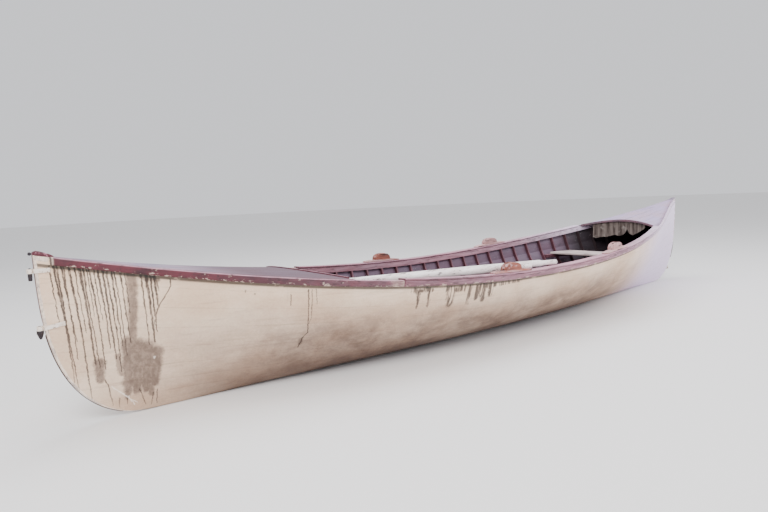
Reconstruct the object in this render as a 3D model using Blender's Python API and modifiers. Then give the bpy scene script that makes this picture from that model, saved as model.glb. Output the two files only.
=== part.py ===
"""A canvas-covered double-ended rowing guideboat with its oars stowed.

Metres, +Z up. The boat lies along X with its stern towards -X and its bow
towards +X, +Y is port. The origin is on the floor under the middle of the boat.
"""
import math

import bmesh
import bpy
from mathutils import Matrix, Vector

# Driving dimensions of the hull
LENGTH = 4.88
HALF = LENGTH / 2
BEAM_HALF = 0.517
STEM_HALF = 0.014
DEPTH = 0.383
SHEER_RISE = 0.285
FLAT_HALF = 0.048
FLAT_END = 0.010
ROCKER = 0.0035
ROCKER_START = 0.55
# The flat bottom board stands this much below the planking's lowest edge
BOARD_PROUD = 0.0015
SKIN = 0.007
GAP = 0.0003
# What follows the skin's flat facets stands a little further off them
FACET_GAP = 0.0008
RIB_GAP = 0.0031
# The skin's inner edge stands this much above the sheer where the sides flare
RIM_RISE = 0.0014

# Plan shape: half-breadth = stem + BEAM_HALF * (1 - |s|^PLAN_P)^PLAN_Q
PLAN_P = 2.6
PLAN_Q = 1.45
# Round of the section amidships, a superellipse, and the V of the ends
ROUND_M = 1.75
ROUND_N = 1.8
VEE = 0.75
VEE_BLEND = 2.2
# Stem profile: how far it stands in from the end at the keel
FOREFOOT = 0.337
STEM_RAKE = 0.013
PROFILE_P = 1.97
PROFILE_Q = 3.14
# Stations stay upright amidships and lean into the stem past this share
LEAN_START = 0.30

SHELL_END = 0.965
STATIONS = 36
LEVELS = 10
# Half the gap at the seam between two strakes
SEAM_GAP = 0.0002
# The stems' lowest levels stand off the strakes' slanting ends, in length share
FOOT_GAP = 0.013
# The bottom board's edges stand this much further off the seam at its ends
BOARD_END_GAP = 0.0012
# The lowest strakes stop a little short of the stems at their lower edge
STRAKE_END_GAP = 0.004
# Planking: name of the strake, its lower level, its upper level, and its
# planks, each with the station where it ends against the next one
STRAKES = (
    ("garboard", 0, 3, (("aft", 14), ("middle", 26), ("forward", STATIONS))),
    ("lower_bilge", 3, 5, (("aft", 12), ("middle", 24), ("forward", STATIONS))),
    ("upper_bilge", 5, 7, (("aft", 18), ("forward", STATIONS))),
    ("topside", 7, LEVELS, (("", STATIONS),)),
)
# Half the gap where two planks butt, as a share of the way to the next station
BUTT_GAP = 0.002

# The stems' heads: name, end sign, rise over the sheer, thickness of the cap.
# A head is shorter than the foot and its top slopes with the sheer
STEM_HEADS = (("stern", -1, 0.003, 0.019), ("bow", 1, 0.003, 0.009))
HEAD_LONG = 0.066
# Rings of a head's cap: share of the head's outline, share of the thickness
CAP_RINGS = ((1.0, 0.0), (1.02, 0.2), (0.98, 0.6), (0.6, 1.0))
KNOB_RADIUS = 0.0065

# Half-oval bands on the stems' faces: name, end sign, foot and top heights
BANDS = (("stern", -1, 0.0, 0.375), ("bow", 1, 0.160, 0.655))
BAND_THICK = 0.003
BAND_HALF_WIDE = 0.006
BAND_BED = 0.0010

# Rails: half sections as widths and heights
INWALE_WIDTH = 0.018
INWALE_DEEP = 0.032
INWALE_END = 0.93
OUTWALE_WIDTH = 0.020
OUTWALE_DEEP = 0.026
OUTWALE_CHAMFER = 0.005
OUTWALE_END = 0.972
STERN_RAIL_PROUD = 0.005
CAP_THICK = 0.010
CAP_INSIDE = 0.030
CAP_OUTSIDE = 0.022
RAIL_JOINT_X = -1.05
RAIL_JOINT_GAP = 0.004

# Ribs
RIB_FIRST_X = -1.765
RIB_PITCH = 0.125
RIB_COUNT = 29
RIB_SIDED = 0.010
# A rib's head stops this much short of the inwale's underside
RIB_HEAD_GAP = 0.0045
RIB_DEEP = 0.018
KEELSON_HALF = 0.045
KEELSON_THICK = 0.014
KEELSON_END = 1.82

# Decks: where the hollow edge meets the rails, where its middle is, crown
DECK_THICK = 0.005
DECK_END = 0.972
# The deck's edge over the sheer: its crown clears the skin's risen inner edge
DECK_BED = 0.0010
DECKS = (
    # name, end sign, corner x, middle x, crown at the hollow edge
    ("stern", -1, 1.27, 1.40, 0.026),
    ("bow", 1, 1.50, 1.61, 0.030),
)
COAMING_THICK = 0.009
COAMING_DEEP = 0.036
COAMING_PROUD = 0.004
APRON_BED = 0.0001
APRON_SETBACK = 0.006
APRON_THICK = 0.004
# The apron's torn lower edge: share across the boat, depth below the deck
TORN_EDGE = (
    (-0.66, 0.040), (-0.55, 0.066), (-0.42, 0.092), (-0.30, 0.112), (-0.20, 0.104), (-0.12, 0.070),
    (-0.07, 0.100), (0.02, 0.120), (0.12, 0.124), (0.22, 0.114), (0.32, 0.120), (0.44, 0.126),
    (0.55, 0.120), (0.64, 0.124), (0.70, 0.112),
)

# Oarlock blocks on the gunwale caps
LOCK_STATIONS = (("aft", -0.37), ("forward", 0.65))
LOCK_BASE_LONG = 0.280
LOCK_BASE_HIGH = 0.011
LOCK_HUMP_LONG = 0.120
LOCK_HUMP_HIGH = 0.050
LOCK_WIDE = 0.040
LOCK_HOLE_RADIUS = 0.0075

# Seats: name, aft edge x, width along the boat, height of the top, how far
# the cleats stand off the ribs' facets
SEATS = (
    ("bow_seat", 1.13, 0.215, 0.320, 0.0016),
    ("middle_seat", 0.12, 0.230, 0.245, 0.0007),
    ("stern_seat", -1.16, 0.300, 0.235, 0.0014),
)
SEAT_THICK = 0.016
CLEAT_HIGH = 0.024
CLEAT_WIDE = 0.016

# Oars: name, grip end (x, y), how far it clears the cap, blade tip (y, z)
OAR_LENGTH = 2.12
OARS = (
    ("oar_inboard", 0.040, -0.504, 0.0006, -0.035, 0.450),
    ("oar_outboard", -0.180, -0.500, -0.0005, -0.031, 0.452),
)
LOOM_RADIUS = 0.0195
GRIP_RADIUS = 0.0145
BLADE_WIDE = 0.062
BLADE_THICK = 0.004

# Rudder gudgeons: name, height of the eye, slope of the strap, leg length
GUDGEONS = (
    ("upper", 0.612, 0.0, 0.088),
    ("lower", 0.398, 0.012, 0.092),
)
STRAP_HIGH = 0.017
STRAP_THICK = 0.0028
EYE_RADIUS = 0.0105
EYE_HOLE = 0.0050


def wipe_scene():
    """Remove what the scene holds before the boat is built."""
    for thing in list(bpy.data.objects):
        bpy.data.objects.remove(thing, do_unlink=True)


wipe_scene()
PARTS = bpy.data.collections.new("guideboat")
CUTTERS = bpy.data.collections.new("cutters")
bpy.context.scene.collection.children.link(PARTS)
bpy.context.scene.collection.children.link(CUTTERS)

# Finishes: name -> (colour, roughness, metallic)
FINISHES = {
    "canvas_cream": ((0.62, 0.52, 0.42, 1), 0.75, 0.0),
    "rail_maroon": ((0.25, 0.05, 0.07, 1), 0.55, 0.0),
    "deck_lavender": ((0.42, 0.40, 0.46, 1), 0.50, 0.0),
    "inner_maroon": ((0.20, 0.09, 0.12, 1), 0.65, 0.0),
    "seat_cream": ((0.66, 0.60, 0.50, 1), 0.60, 0.0),
    "bare_wood": ((0.50, 0.24, 0.14, 1), 0.80, 0.0),
    "oar_white": ((0.80, 0.74, 0.74, 1), 0.65, 0.0),
    "iron_dark": ((0.06, 0.05, 0.06, 1), 0.60, 0.6),
    "apron_grey": ((0.36, 0.34, 0.33, 1), 0.85, 0.0),
}


def finish(name):
    """One Principled material of the palette, made once."""
    found = bpy.data.materials.get(name)
    if found:
        return found
    colour, rough, metal = FINISHES[name]
    made = bpy.data.materials.new(name)
    made.use_nodes = True
    shader = made.node_tree.nodes["Principled BSDF"]
    shader.inputs["Base Color"].default_value = colour
    shader.inputs["Roughness"].default_value = rough
    shader.inputs["Metallic"].default_value = metal
    made.diffuse_color = colour
    return made


def add_object(name, mesh, finish_name, collection=PARTS):
    """Put a mesh into a collection as one named sub-part."""
    mesh.materials.clear()
    mesh.materials.append(finish(finish_name))
    thing = bpy.data.objects.new(name, mesh)
    collection.objects.link(thing)
    return thing


def mesh_from(name, corners, faces):
    """A mesh with its faces turned outwards."""
    work = bmesh.new()
    verts = [work.verts.new(corner) for corner in corners]
    for face in faces:
        work.faces.new([verts[i] for i in face])
    bmesh.ops.recalc_face_normals(work, faces=work.faces)
    if work.calc_volume(signed=True) < 0:
        bmesh.ops.reverse_faces(work, faces=work.faces)
    mesh = bpy.data.meshes.new(name)
    work.to_mesh(mesh)
    work.free()
    return mesh


def loft(name, rings, finish_name, collection=PARTS):
    """A closed solid through like rings of points, capped at both ends."""
    count = len(rings[0])
    corners = [point for ring in rings for point in ring]
    faces = []
    for row in range(len(rings) - 1):
        for i in range(count):
            j = (i + 1) % count
            a = row * count
            b = a + count
            faces.append((a + i, a + j, b + j, b + i))
    last = (len(rings) - 1) * count
    faces.append(tuple(range(count)))
    faces.append(tuple(range(last, last + count)))
    return add_object(name, mesh_from(name, corners, faces), finish_name, collection)


def sheet_grid(name, rows, thickness, finish_name, offset):
    """An open surface of rows of points, thickened by Solidify."""
    count = len(rows[0])
    corners = [point for row in rows for point in row]
    faces = []
    for r in range(len(rows) - 1):
        for i in range(count - 1):
            a = r * count + i
            b = a + count
            faces.append((a, a + 1, b + 1, b))
    thing = add_object(name, mesh_from(name, corners, faces), finish_name)
    solid = thing.modifiers.new("thickness", "SOLIDIFY")
    solid.thickness = thickness
    solid.offset = offset
    solid.use_even_offset = True
    return thing


def bevel(thing, width, segments=1):
    """Round the edges of a sub-part a little."""
    soft = thing.modifiers.new("edges", "BEVEL")
    soft.width = width
    soft.segments = segments
    soft.limit_method = "ANGLE"
    soft.angle_limit = math.radians(40)
    return thing


def cut(thing, cutter):
    """Take a cutter's shape out of a sub-part."""
    cutter.hide_render = True
    cutter.display_type = "WIRE"
    hole = thing.modifiers.new("cut", "BOOLEAN")
    hole.operation = "DIFFERENCE"
    hole.object = cutter


# Shape of the hull

def half_breadth(s):
    """Half-breadth at the sheer, outside the skin, at length share s."""
    share = min(abs(s), 1.0) ** PLAN_P
    return STEM_HALF + BEAM_HALF * (1 - share) ** PLAN_Q


def sheer_height(s):
    """Height of the sheer line at length share s."""
    return DEPTH + SHEER_RISE * s * s


def keel_height(s):
    """Height of the planking's lowest edge: flat amidships, higher at the ends."""
    rise = max(0.0, (abs(s) - ROCKER_START) / (1 - ROCKER_START))
    return BOARD_PROUD + ROCKER * rise * rise


def stem_inset(t):
    """How far the stem stands in from the end at height share t."""
    round_part = 1 - (1 - (1 - t) ** PROFILE_Q) ** (1 / PROFILE_P)
    return FOREFOOT * round_part + STEM_RAKE * (1 - t)


def lean(s):
    """Share of the stem's inset that a station follows."""
    share = max(0.0, (abs(s) - LEAN_START) / (1 - LEAN_START))
    return share * share


def station_x(s, t):
    """Place along the boat of length share s at height share t."""
    return HALF * s - math.copysign(stem_inset(t) * lean(s), s)


def level_angle(k):
    """Angle of level k on the round of the section."""
    return 0.5 * math.pi * k / LEVELS


def level_height(k):
    """Height share of level k; the levels crowd towards the bottom."""
    return 1 - max(0.0, math.cos(level_angle(k))) ** (2 / ROUND_M)


def breadth_share(s, t):
    """Share of the half-breadth that the section has at height share t."""
    round_share = (1 - (1 - t) ** ROUND_M) ** (1 / ROUND_N)
    vee = abs(s) ** VEE_BLEND
    return (1 - vee) * round_share + vee * t ** VEE


def flat_half(s):
    """Half-breadth of the flat bottom."""
    return FLAT_END + (FLAT_HALF - FLAT_END) * (1 - s * s)


def skin(s, t):
    """A point on the outside of the port skin."""
    t = min(max(t, 0.0), 1.0)
    low = keel_height(s)
    y = flat_half(s) + (half_breadth(s) - flat_half(s)) * breadth_share(s, t)
    return Vector((station_x(s, t), y, low + t * (sheer_height(s) - low)))


def skin_normal(s, t):
    """Outward normal of the port skin."""
    step = 0.004
    t0 = max(t - step, 0.0)
    t1 = min(t + step, 1.0)
    along = skin(s + step, t) - skin(s - step, t)
    up = skin(s, t1) - skin(s, t0)
    normal = along.cross(up)
    if normal.y < 0:
        normal.negate()
    return normal.normalized()


def share_at(x, t):
    """Length share of the station that has place x at height share t."""
    low, high = -1.0, 1.0
    for _ in range(40):
        middle = 0.5 * (low + high)
        if station_x(middle, t) < x:
            low = middle
        else:
            high = middle
    return 0.5 * (low + high)


def inside(x, t, inset):
    """A point inside the port skin, in the plane x, off it by inset."""
    s = share_at(x, t)
    normal = skin_normal(s, t)
    flat = Vector((0, normal.y, normal.z))
    point = skin(s, t) - flat * inset / flat.length_squared
    point.x = x
    return point


def inside_at(x, z, inset):
    """Half-breadth inside the skin's facets at place x and height z."""
    below = inside(x, 0.0, inset)
    for k in range(1, LEVELS + 1):
        above = inside(x, level_height(k), inset)
        if above.z >= z:
            break
        below = above
    share = (z - below.z) / (above.z - below.z)
    return below.y + share * (above.y - below.y)


def outside_at(x, z):
    """Half-breadth outside the skin at place x and height z."""
    t = 0.5
    for _ in range(8):
        s = share_at(x, t)
        t = (z - keel_height(s)) / (sheer_height(s) - keel_height(s))
    return skin(min(s, 1.0), t).y


def stem_face(z):
    """Place of the stem's face at height z, for the bow."""
    return station_x(1, (z - keel_height(1)) / (sheer_height(1) - keel_height(1)))


def facet_run(z):
    """The stem's flat facet at height z, as its low and high ends, for the bow."""
    ends = []
    for k in range(LEVELS + 1):
        t = level_height(k)
        ends.append(Vector((station_x(1, t), 0, keel_height(1) + t * (sheer_height(1) - keel_height(1)))))
    for low, high in zip(ends, ends[1:]):
        if high.z >= z:
            break
    return low, high


def other_side(point):
    """The same point on the other side of the boat."""
    return Vector((point.x, -point.y, point.z))


def spaced(first, last, count):
    """Evenly spaced values, both ends included."""
    return [first + (last - first) * i / (count - 1) for i in range(count)]


def shell_stations():
    """Length shares of the hull's stations, closer together at the ends."""
    values = []
    for i in range(STATIONS + 1):
        even = -1 + 2 * i / STATIONS
        values.append(SHELL_END * (0.72 * even + 0.28 * math.sin(0.5 * math.pi * even)))
    return values


def stations_between(first, last):
    """The hull's own stations between two shares, with both ends."""
    inner = [s for s in shell_stations() if first + 0.004 < s < last - 0.004]
    return [first] + inner + [last]


# Hull

def seam_at(s, k):
    """Outer and inner points of the seam at a level, and the way up the skin from it."""
    t = level_height(k)
    outer = skin(s, t)
    normal = skin_normal(s, t)
    step = 0.004
    along = skin(s + step, t) - skin(s - step, t)
    up = along.cross(normal).normalized()
    if up.z < 0 or (k == 0 and up.y < 0):
        up.negate()
    return outer, outer - normal * SKIN, up


def strake_ring(s, low, high, side):
    """The section of a strake at one station: outside going up, inside going down."""
    outer = []
    inner = []
    for k in range(low, high + 1):
        out, within, up = seam_at(s, k)
        shift = Vector()
        if k == low:
            shift = up * SEAM_GAP
        elif k == high and high < LEVELS:
            shift = -up * SEAM_GAP
        outer.append(out + shift)
        inner.append(within + shift)
    return [Vector((p.x, side * p.y, p.z)) for p in outer + inner[::-1]]


def strake_rows(low, high, side):
    """The sections of a whole strake, from its stern end to its bow end."""
    rows = [strake_ring(s, low, high, side) for s in shell_stations()]
    if low == 0:
        for row in (rows[0], rows[-1]):
            for p in (row[0], row[-1]):
                p.x -= math.copysign(STRAKE_END_GAP, p.x)
    return rows


def plank_rows(rows, first, last):
    """The sections of one plank of a strake; a butted end stops a little short."""
    inner = rows[first + 1:last]
    start = rows[first]
    end = rows[last]
    if first > 0:
        start = [p.lerp(q, BUTT_GAP) for p, q in zip(start, rows[first + 1])]
    if last < STATIONS:
        end = [p.lerp(q, BUTT_GAP) for p, q in zip(end, rows[last - 1])]
    return [start] + inner + [end]


def build_plank(name, rows):
    """One plank of the canvas-covered planking, from its sections."""
    count = len(rows[0])
    top = count // 2 - 1
    corners = [p for row in rows for p in row]
    faces = []
    for r in range(len(rows) - 1):
        a = r * count
        b = a + count
        for i in range(count):
            j = (i + 1) % count
            if i == top:
                faces += [(a + i, a + j, b + j), (a + i, b + j, b + i)]
            elif i == count - 1:
                faces += [(a + j, b + j, b + i), (a + j, b + i, a + i)]
            else:
                faces.append((a + i, a + j, b + j, b + i))
    for start in (0, (len(rows) - 1) * count):
        for i in range(top):
            faces.append((start + i, start + i + 1, start + count - 2 - i, start + count - 1 - i))
    return add_object(name, mesh_from(name, corners, faces), "canvas_cream")


def build_hull():
    """The bottom board and the canvas-covered strakes on both sides."""
    rings = []
    for s in shell_stations():
        outer, inner, up = seam_at(s, 0)
        gap = SEAM_GAP + BOARD_END_GAP * s ** 4
        seam = outer - up * gap
        top = inner - up * gap
        foot = Vector((seam.x, seam.y, keel_height(s) - BOARD_PROUD))
        half = [foot, seam, top]
        rings.append([other_side(p) for p in half] + half[::-1])
    loft("bottom_board", rings, "canvas_cream")
    for strake, low, high, planks in STRAKES:
        for side_name, side in (("port", 1), ("starboard", -1)):
            rows = strake_rows(low, high, side)
            first = 0
            for plank, last in planks:
                name = "_".join(word for word in (strake, plank, side_name) if word)
                build_plank(name, plank_rows(rows, first, last))
                first = last


def stem_rings(sign, head_rise):
    """Rings of a stem from its forefoot to the top of its head."""
    rings = []
    for k in range(LEVELS + 1):
        t = level_height(k)
        back = SHELL_END + 2 * GAP / HALF
        if k < 2:
            back += FOOT_GAP
        shares = (back, 0.5 * (back + 1) + 0.004, 0.996)
        port = [skin(s, t) for s in shares]
        nose = Vector((station_x(1, t), 0, keel_height(1) + t * (sheer_height(1) - keel_height(1))))
        soft = Vector((nose.x - 0.003, 0.6 * port[-1].y, nose.z))
        half = port + [soft]
        ring = half + [nose] + [other_side(p) for p in reversed(half)]
        rings.append([Vector((sign * p.x, p.y, p.z)) for p in ring])
    head_back = HALF - HEAD_LONG
    narrow = half_breadth(head_back / HALF)
    step = []
    for p in rings[-1]:
        if abs(p.x) < head_back:
            p = Vector((sign * head_back, math.copysign(narrow, p.y), p.z))
        step.append(p + Vector((0, 0, GAP)))
    rings.append(step)
    rings.append([p + Vector((0, 0, head_rise)) for p in step])
    return rings


def build_stems():
    """The two stems, whose heads stand above the sheer, and their caps."""
    noses = {}
    for name, sign, rise, thick in STEM_HEADS:
        rings = stem_rings(sign, rise)
        loft(f"{name}_stem", rings, "canvas_cream")
        top = rings[-1]
        centre = sum(top, Vector()) / len(top)
        cap = [[centre + (p - centre) * share + Vector((0, 0, GAP + up * thick)) for p in top]
               for share, up in CAP_RINGS]
        loft(f"{name}_stem_cap", cap, "rail_maroon")
        noses[name] = max(cap[1], key=lambda p: abs(p.x))
    knob = bmesh.new()
    bmesh.ops.create_uvsphere(knob, u_segments=12, v_segments=8, radius=KNOB_RADIUS)
    mesh = bpy.data.meshes.new("stem_head_knob")
    knob.to_mesh(mesh)
    knob.free()
    ball = add_object("stem_head_knob", mesh, "iron_dark")
    ball.location = noses["stern"] - Vector((KNOB_RADIUS + GAP, 0, 0))


def build_stem_bands():
    """Half-oval metal bands down the face of each stem and under the foot."""
    for name, sign, foot_z, top_z in BANDS:
        points = []
        for i in range(25):
            t = (i / 24) ** 1.6
            z = keel_height(1) + t * (sheer_height(1) - keel_height(1))
            if foot_z <= z <= top_z:
                points.append((station_x(1, t), z))
        rings = []
        for i, (x, z) in enumerate(points):
            before = points[max(i - 1, 0)]
            after = points[min(i + 1, len(points) - 1)]
            run = Vector((after[0] - before[0], 0, after[1] - before[1])).normalized()
            out = Vector((run.z, 0, -run.x))
            base = Vector((x, 0, z)) + out * BAND_BED
            crest = base + out * BAND_THICK
            across = Vector((0, BAND_HALF_WIDE, 0))
            ring = [base + across, crest + across * 0.5, crest - across * 0.5, base - across]
            rings.append([Vector((sign * p.x, p.y, p.z)) for p in ring])
        loft(f"{name}_stem_band", rings, "iron_dark")


# Ribs

def rib_rings(x):
    """Rings of one sawn rib, from the port rail to the starboard rail."""
    outer = SKIN + RIB_GAP
    rings = []
    top_inset = INWALE_DEEP + RIB_HEAD_GAP
    for k in range(LEVELS, -1, -1):
        t = level_height(k)
        a = inside(x, t, outer)
        b = inside(x, t, outer + RIB_DEEP)
        if k == LEVELS:
            below = inside(x, level_height(LEVELS - 1), outer)
            below_in = inside(x, level_height(LEVELS - 1), outer + RIB_DEEP)
            share = (top_inset) / (a.z - below.z)
            a = a.lerp(below, share)
            b = b.lerp(below_in, share)
            b.z = a.z
        half = 0.5 * RIB_SIDED
        step = Vector((half, 0, 0))
        rings.append([a - step, a + step, b + step, b - step])
    mirrored = [[other_side(p) for p in ring] for ring in reversed(rings)]
    return rings + mirrored


def build_ribs():
    """All ribs and the bottom batten that ties them, as one frame."""
    work = bmesh.new()
    for i in range(RIB_COUNT):
        x = RIB_FIRST_X + RIB_PITCH * i
        rings = rib_rings(x)
        rows = [[work.verts.new(p) for p in ring] for ring in rings]
        for a, b in zip(rows, rows[1:]):
            for j in range(4):
                k = (j + 1) % 4
                work.faces.new((a[j], a[k], b[k], b[j]))
        work.faces.new(rows[0])
        work.faces.new(rows[-1])
    bmesh.ops.recalc_face_normals(work, faces=work.faces)
    mesh = bpy.data.meshes.new("rib_frame")
    work.to_mesh(mesh)
    work.free()
    ribs = add_object("rib_frame", mesh, "inner_maroon")
    rings = []
    for x in spaced(-KEELSON_END, KEELSON_END, 27):
        s = share_at(x, 0)
        low = keel_height(s) + SKIN + RIB_GAP
        half = min(KEELSON_HALF, flat_half(s) - SKIN)
        rings.append([Vector((x, y, z)) for y, z in (
            (-half, low), (half, low), (half, low + KEELSON_THICK), (-half, low + KEELSON_THICK))])
    keelson = loft("keelson_tool", rings, "inner_maroon", CUTTERS)
    keelson.hide_render = True
    keelson.display_type = "WIRE"
    join = ribs.modifiers.new("keelson", "BOOLEAN")
    join.operation = "UNION"
    join.object = keelson


# Rails

def rail_frame(s):
    """Sheer point outside the skin and the way down the topmost plank."""
    top = skin(s, 1.0)
    low = skin(s, level_height(LEVELS - 1))
    return top, (low - top) / (top.z - low.z)


def inner_frame(s):
    """Sheer point inside the skin and the way down the inside of the plank."""
    top = skin(s, 1.0)
    low = skin(s, level_height(LEVELS - 1))
    normal = skin_normal(s, 0.97)
    across = Vector((0, normal.y, 0)).normalized() * (SKIN + FACET_GAP) / max(normal.y, 0.5)
    return top - across, (low - top) / (top.z - low.z)


def rail_rings(shares, corners):
    """Rings of a rail: corners are (outward, downward) from the sheer."""
    rings = []
    for s in shares:
        top, down = rail_frame(s)
        ring = []
        for out, drop in corners:
            point = top + down * drop + Vector((0, out, 0))
            point.z = top.z - drop
            ring.append(point)
        rings.append(ring)
    return rings


def on_side(rings, side):
    """Rings on port (+1) or starboard (-1)."""
    return [[Vector((p.x, side * p.y, p.z)) for p in ring] for ring in rings]


def build_rails():
    """Inwales, outwales in two lengths, and gunwale caps, on both sides."""
    joint = RAIL_JOINT_X / HALF
    half_gap = 0.5 * RAIL_JOINT_GAP / HALF
    inwale_rings = []
    for s in stations_between(-INWALE_END, INWALE_END):
        top, down = inner_frame(s)
        low = top + down * INWALE_DEEP
        low.z = top.z - INWALE_DEEP
        inner = Vector((0, INWALE_WIDTH, 0))
        inwale_rings.append([top, low, low - inner, top - inner])

    def outwale_corners(proud, wide):
        first = FACET_GAP
        low = OUTWALE_DEEP
        soft = OUTWALE_CHAMFER
        return [(first, -proud), (first + wide - soft, -proud), (first + wide, soft - proud),
                (first + wide, low - soft), (first + wide - soft, low), (first, low)]

    stern = rail_rings(stations_between(-OUTWALE_END, joint - half_gap),
                       outwale_corners(STERN_RAIL_PROUD, OUTWALE_WIDTH))
    main = rail_rings(stations_between(joint + half_gap, OUTWALE_END),
                      outwale_corners(0.0, OUTWALE_WIDTH))
    cap_end = (DECKS[1][2] - 0.004) / HALF
    bed = RIM_RISE + GAP
    crest = bed + CAP_THICK
    cap_corners = [(CAP_OUTSIDE, -bed), (CAP_OUTSIDE, 0.004 - crest), (CAP_OUTSIDE - 0.004, -crest),
                   (0.003 - CAP_INSIDE, -crest), (-CAP_INSIDE, 0.003 - crest), (-CAP_INSIDE, -bed)]
    caps = []
    for s in stations_between(joint + half_gap, cap_end):
        top = skin(s, 1.0)
        caps.append([Vector((top.x, top.y + out, top.z - drop)) for out, drop in cap_corners])
    for name, side in (("port", 1), ("starboard", -1)):
        loft(f"inwale_{name}", on_side(inwale_rings, side), "rail_maroon")
        loft(f"outwale_stern_{name}", on_side(stern, side), "rail_maroon")
        loft(f"outwale_main_{name}", on_side(main, side), "rail_maroon")
        loft(f"gunwale_cap_{name}", on_side(caps, side), "rail_maroon")


# Decks

def deck_point(sign, corner, middle, crown, u, v, lift):
    """A point on a deck: u runs from the stem to the hollow edge, v across."""
    edge = corner + (middle - corner) * (1 - v * v)
    x = DECK_END * HALF + u * (edge - DECK_END * HALF)
    s = x / HALF
    half = half_breadth(s) - 0.001
    local_crown = crown * half / half_breadth(corner / HALF)
    z = sheer_height(s) + DECK_BED + DECK_THICK + local_crown * (1 - v * v) + lift
    return Vector((sign * x, v * half, z))


def build_decks():
    """Crowned decks with a hollow edge, each with its coaming."""
    for name, sign, corner, middle, crown in DECKS:
        rows = []
        for u in spaced(0, 1, 12):
            rows.append([deck_point(sign, corner, middle, crown, u, v, 0) for v in spaced(-1, 1, 13)])
        deck = sheet_grid(f"{name}_deck", rows, DECK_THICK, "deck_lavender", -1)
        if deck.data.polygons[0].normal.z < 0:
            deck.data.flip_normals()
        rings = []
        inner_share = 1 - (INWALE_WIDTH + SKIN + 0.007) / half_breadth(corner / HALF)
        for v in spaced(-inner_share, inner_share, 17):
            point = deck_point(sign, corner, middle, crown, 1, v, 0)
            start = point - Vector((sign * 0.0012, 0, 0))
            back = start - Vector((sign * COAMING_THICK, 0, 0))
            high = Vector((0, 0, COAMING_PROUD))
            deep = Vector((0, 0, COAMING_DEEP))
            rings.append([start + high, back + high, back - deep, start - deep])
        bevel(loft(f"{name}_coaming", rings, "rail_maroon"), 0.002)


def build_apron():
    """The torn panel that hangs under the edge of the bow deck."""
    name, sign, corner, middle, crown = DECKS[1]
    rings = []
    for v, deep in TORN_EDGE:
        edge = deck_point(sign, corner, middle, crown, 1, v, -DECK_THICK - APRON_BED)
        near = edge + Vector((sign * APRON_SETBACK, 0, 0))
        far = near + Vector((sign * APRON_THICK, 0, 0))
        rings.append([near, far, far - Vector((0, 0, deep)), near - Vector((0, 0, deep))])
    loft("bow_apron", rings, "apron_grey")


# Seats

def build_seats():
    """Plank seats across the boat, each on a pair of side cleats."""
    for name, x0, width, top, clear in SEATS:
        rib_face = SKIN + RIB_GAP + RIB_DEEP + clear
        x1 = x0 + width
        low = top - SEAT_THICK
        rings = []
        for x in (x0, x1):
            half = min(inside_at(x, low, rib_face), inside_at(x, top, rib_face)) - 0.002
            rings.append([Vector((x, -half, low)), Vector((x, half, low)),
                          Vector((x, half, top)), Vector((x, -half, top))])
        finish_name = "seat_cream" if name == "bow_seat" else "inner_maroon"
        bevel(loft(name, rings, finish_name), 0.003, 2)
        cleat_top = low - GAP
        cleat_low = cleat_top - CLEAT_HIGH
        for side_name, side in (("port", 1), ("starboard", -1)):
            rings = []
            for x in spaced(x0 - 0.02, x1 + 0.02, 5):
                high_y = inside_at(x, cleat_top, rib_face)
                low_y = inside_at(x, cleat_low, rib_face)
                rings.append([Vector((x, side * y, z)) for y, z in (
                    (low_y, cleat_low), (high_y, cleat_top),
                    (low_y - CLEAT_WIDE, cleat_top), (low_y - CLEAT_WIDE, cleat_low))])
            loft(f"{name}_cleat_{side_name}", rings, "inner_maroon")


# Oarlock blocks

def lock_outline():
    """Side outline of a block: long base with tapered ends and a round hump."""
    half = 0.5 * LOCK_BASE_LONG
    low_end = 0.6 * LOCK_BASE_HIGH
    points = [(-half, 0), (half, 0), (half, low_end), (half - 0.05, LOCK_BASE_HIGH)]
    hump = 0.5 * LOCK_HUMP_LONG
    # An odd number of sides leaves a small flat seat on top of the hump
    sides = 11
    for i in range(sides + 1):
        angle = math.pi * i / sides
        across = hump * math.copysign(abs(math.cos(angle)) ** 0.75, math.cos(angle))
        points.append((across, LOCK_BASE_HIGH + (LOCK_HUMP_HIGH - LOCK_BASE_HIGH) * math.sin(angle) ** 0.8))
    points += [(0.05 - half, LOCK_BASE_HIGH), (-half, low_end)]
    return points


def cap_top(x):
    """Middle of the gunwale cap's top face at place x, on port."""
    top = skin(x / HALF, 1.0)
    return Vector((top.x, top.y + 0.5 * (CAP_OUTSIDE - CAP_INSIDE), top.z + RIM_RISE + GAP + CAP_THICK))


def build_locks():
    """Four blocks that carry the oarlocks, each with its socket hole."""
    half = 0.5 * LOCK_BASE_LONG
    for station, x in LOCK_STATIONS:
        for side_name, side in (("port", 1), ("starboard", -1)):
            aft = cap_top(x - half)
            fore = cap_top(x + half)
            along = (fore - aft).normalized()
            centre = 0.5 * (aft + fore)
            centre.y = min(centre.y + 0.004, cap_top(x).y)
            if side < 0:
                along.y = -along.y
                centre.y = -centre.y
            across = Vector((0, 0, 1)).cross(along).normalized()
            up = along.cross(across)
            turn = Matrix((along, across, up)).transposed()
            rings = []
            for w in (-0.5 * LOCK_WIDE, 0.5 * LOCK_WIDE):
                ring = [Vector((a, w, b)) for a, b in lock_outline()]
                rings.append([centre + turn @ p + up * 2 * GAP for p in ring])
            block = loft(f"oarlock_block_{station}_{side_name}", rings, "bare_wood")
            bevel(block, 0.0022, 2)
            bpy.ops.mesh.primitive_cylinder_add(vertices=16, radius=LOCK_HOLE_RADIUS, depth=0.06)
            drill = bpy.context.active_object
            as_tool(drill, f"drill_{station}_{side_name}")
            drill.matrix_world = (Matrix.Translation(centre + along * -0.032 + up * 0.052)
                                  @ turn.to_4x4() @ Matrix.Rotation(math.radians(-25), 4, "Y"))
            cut(block, drill)


# Oars

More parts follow.
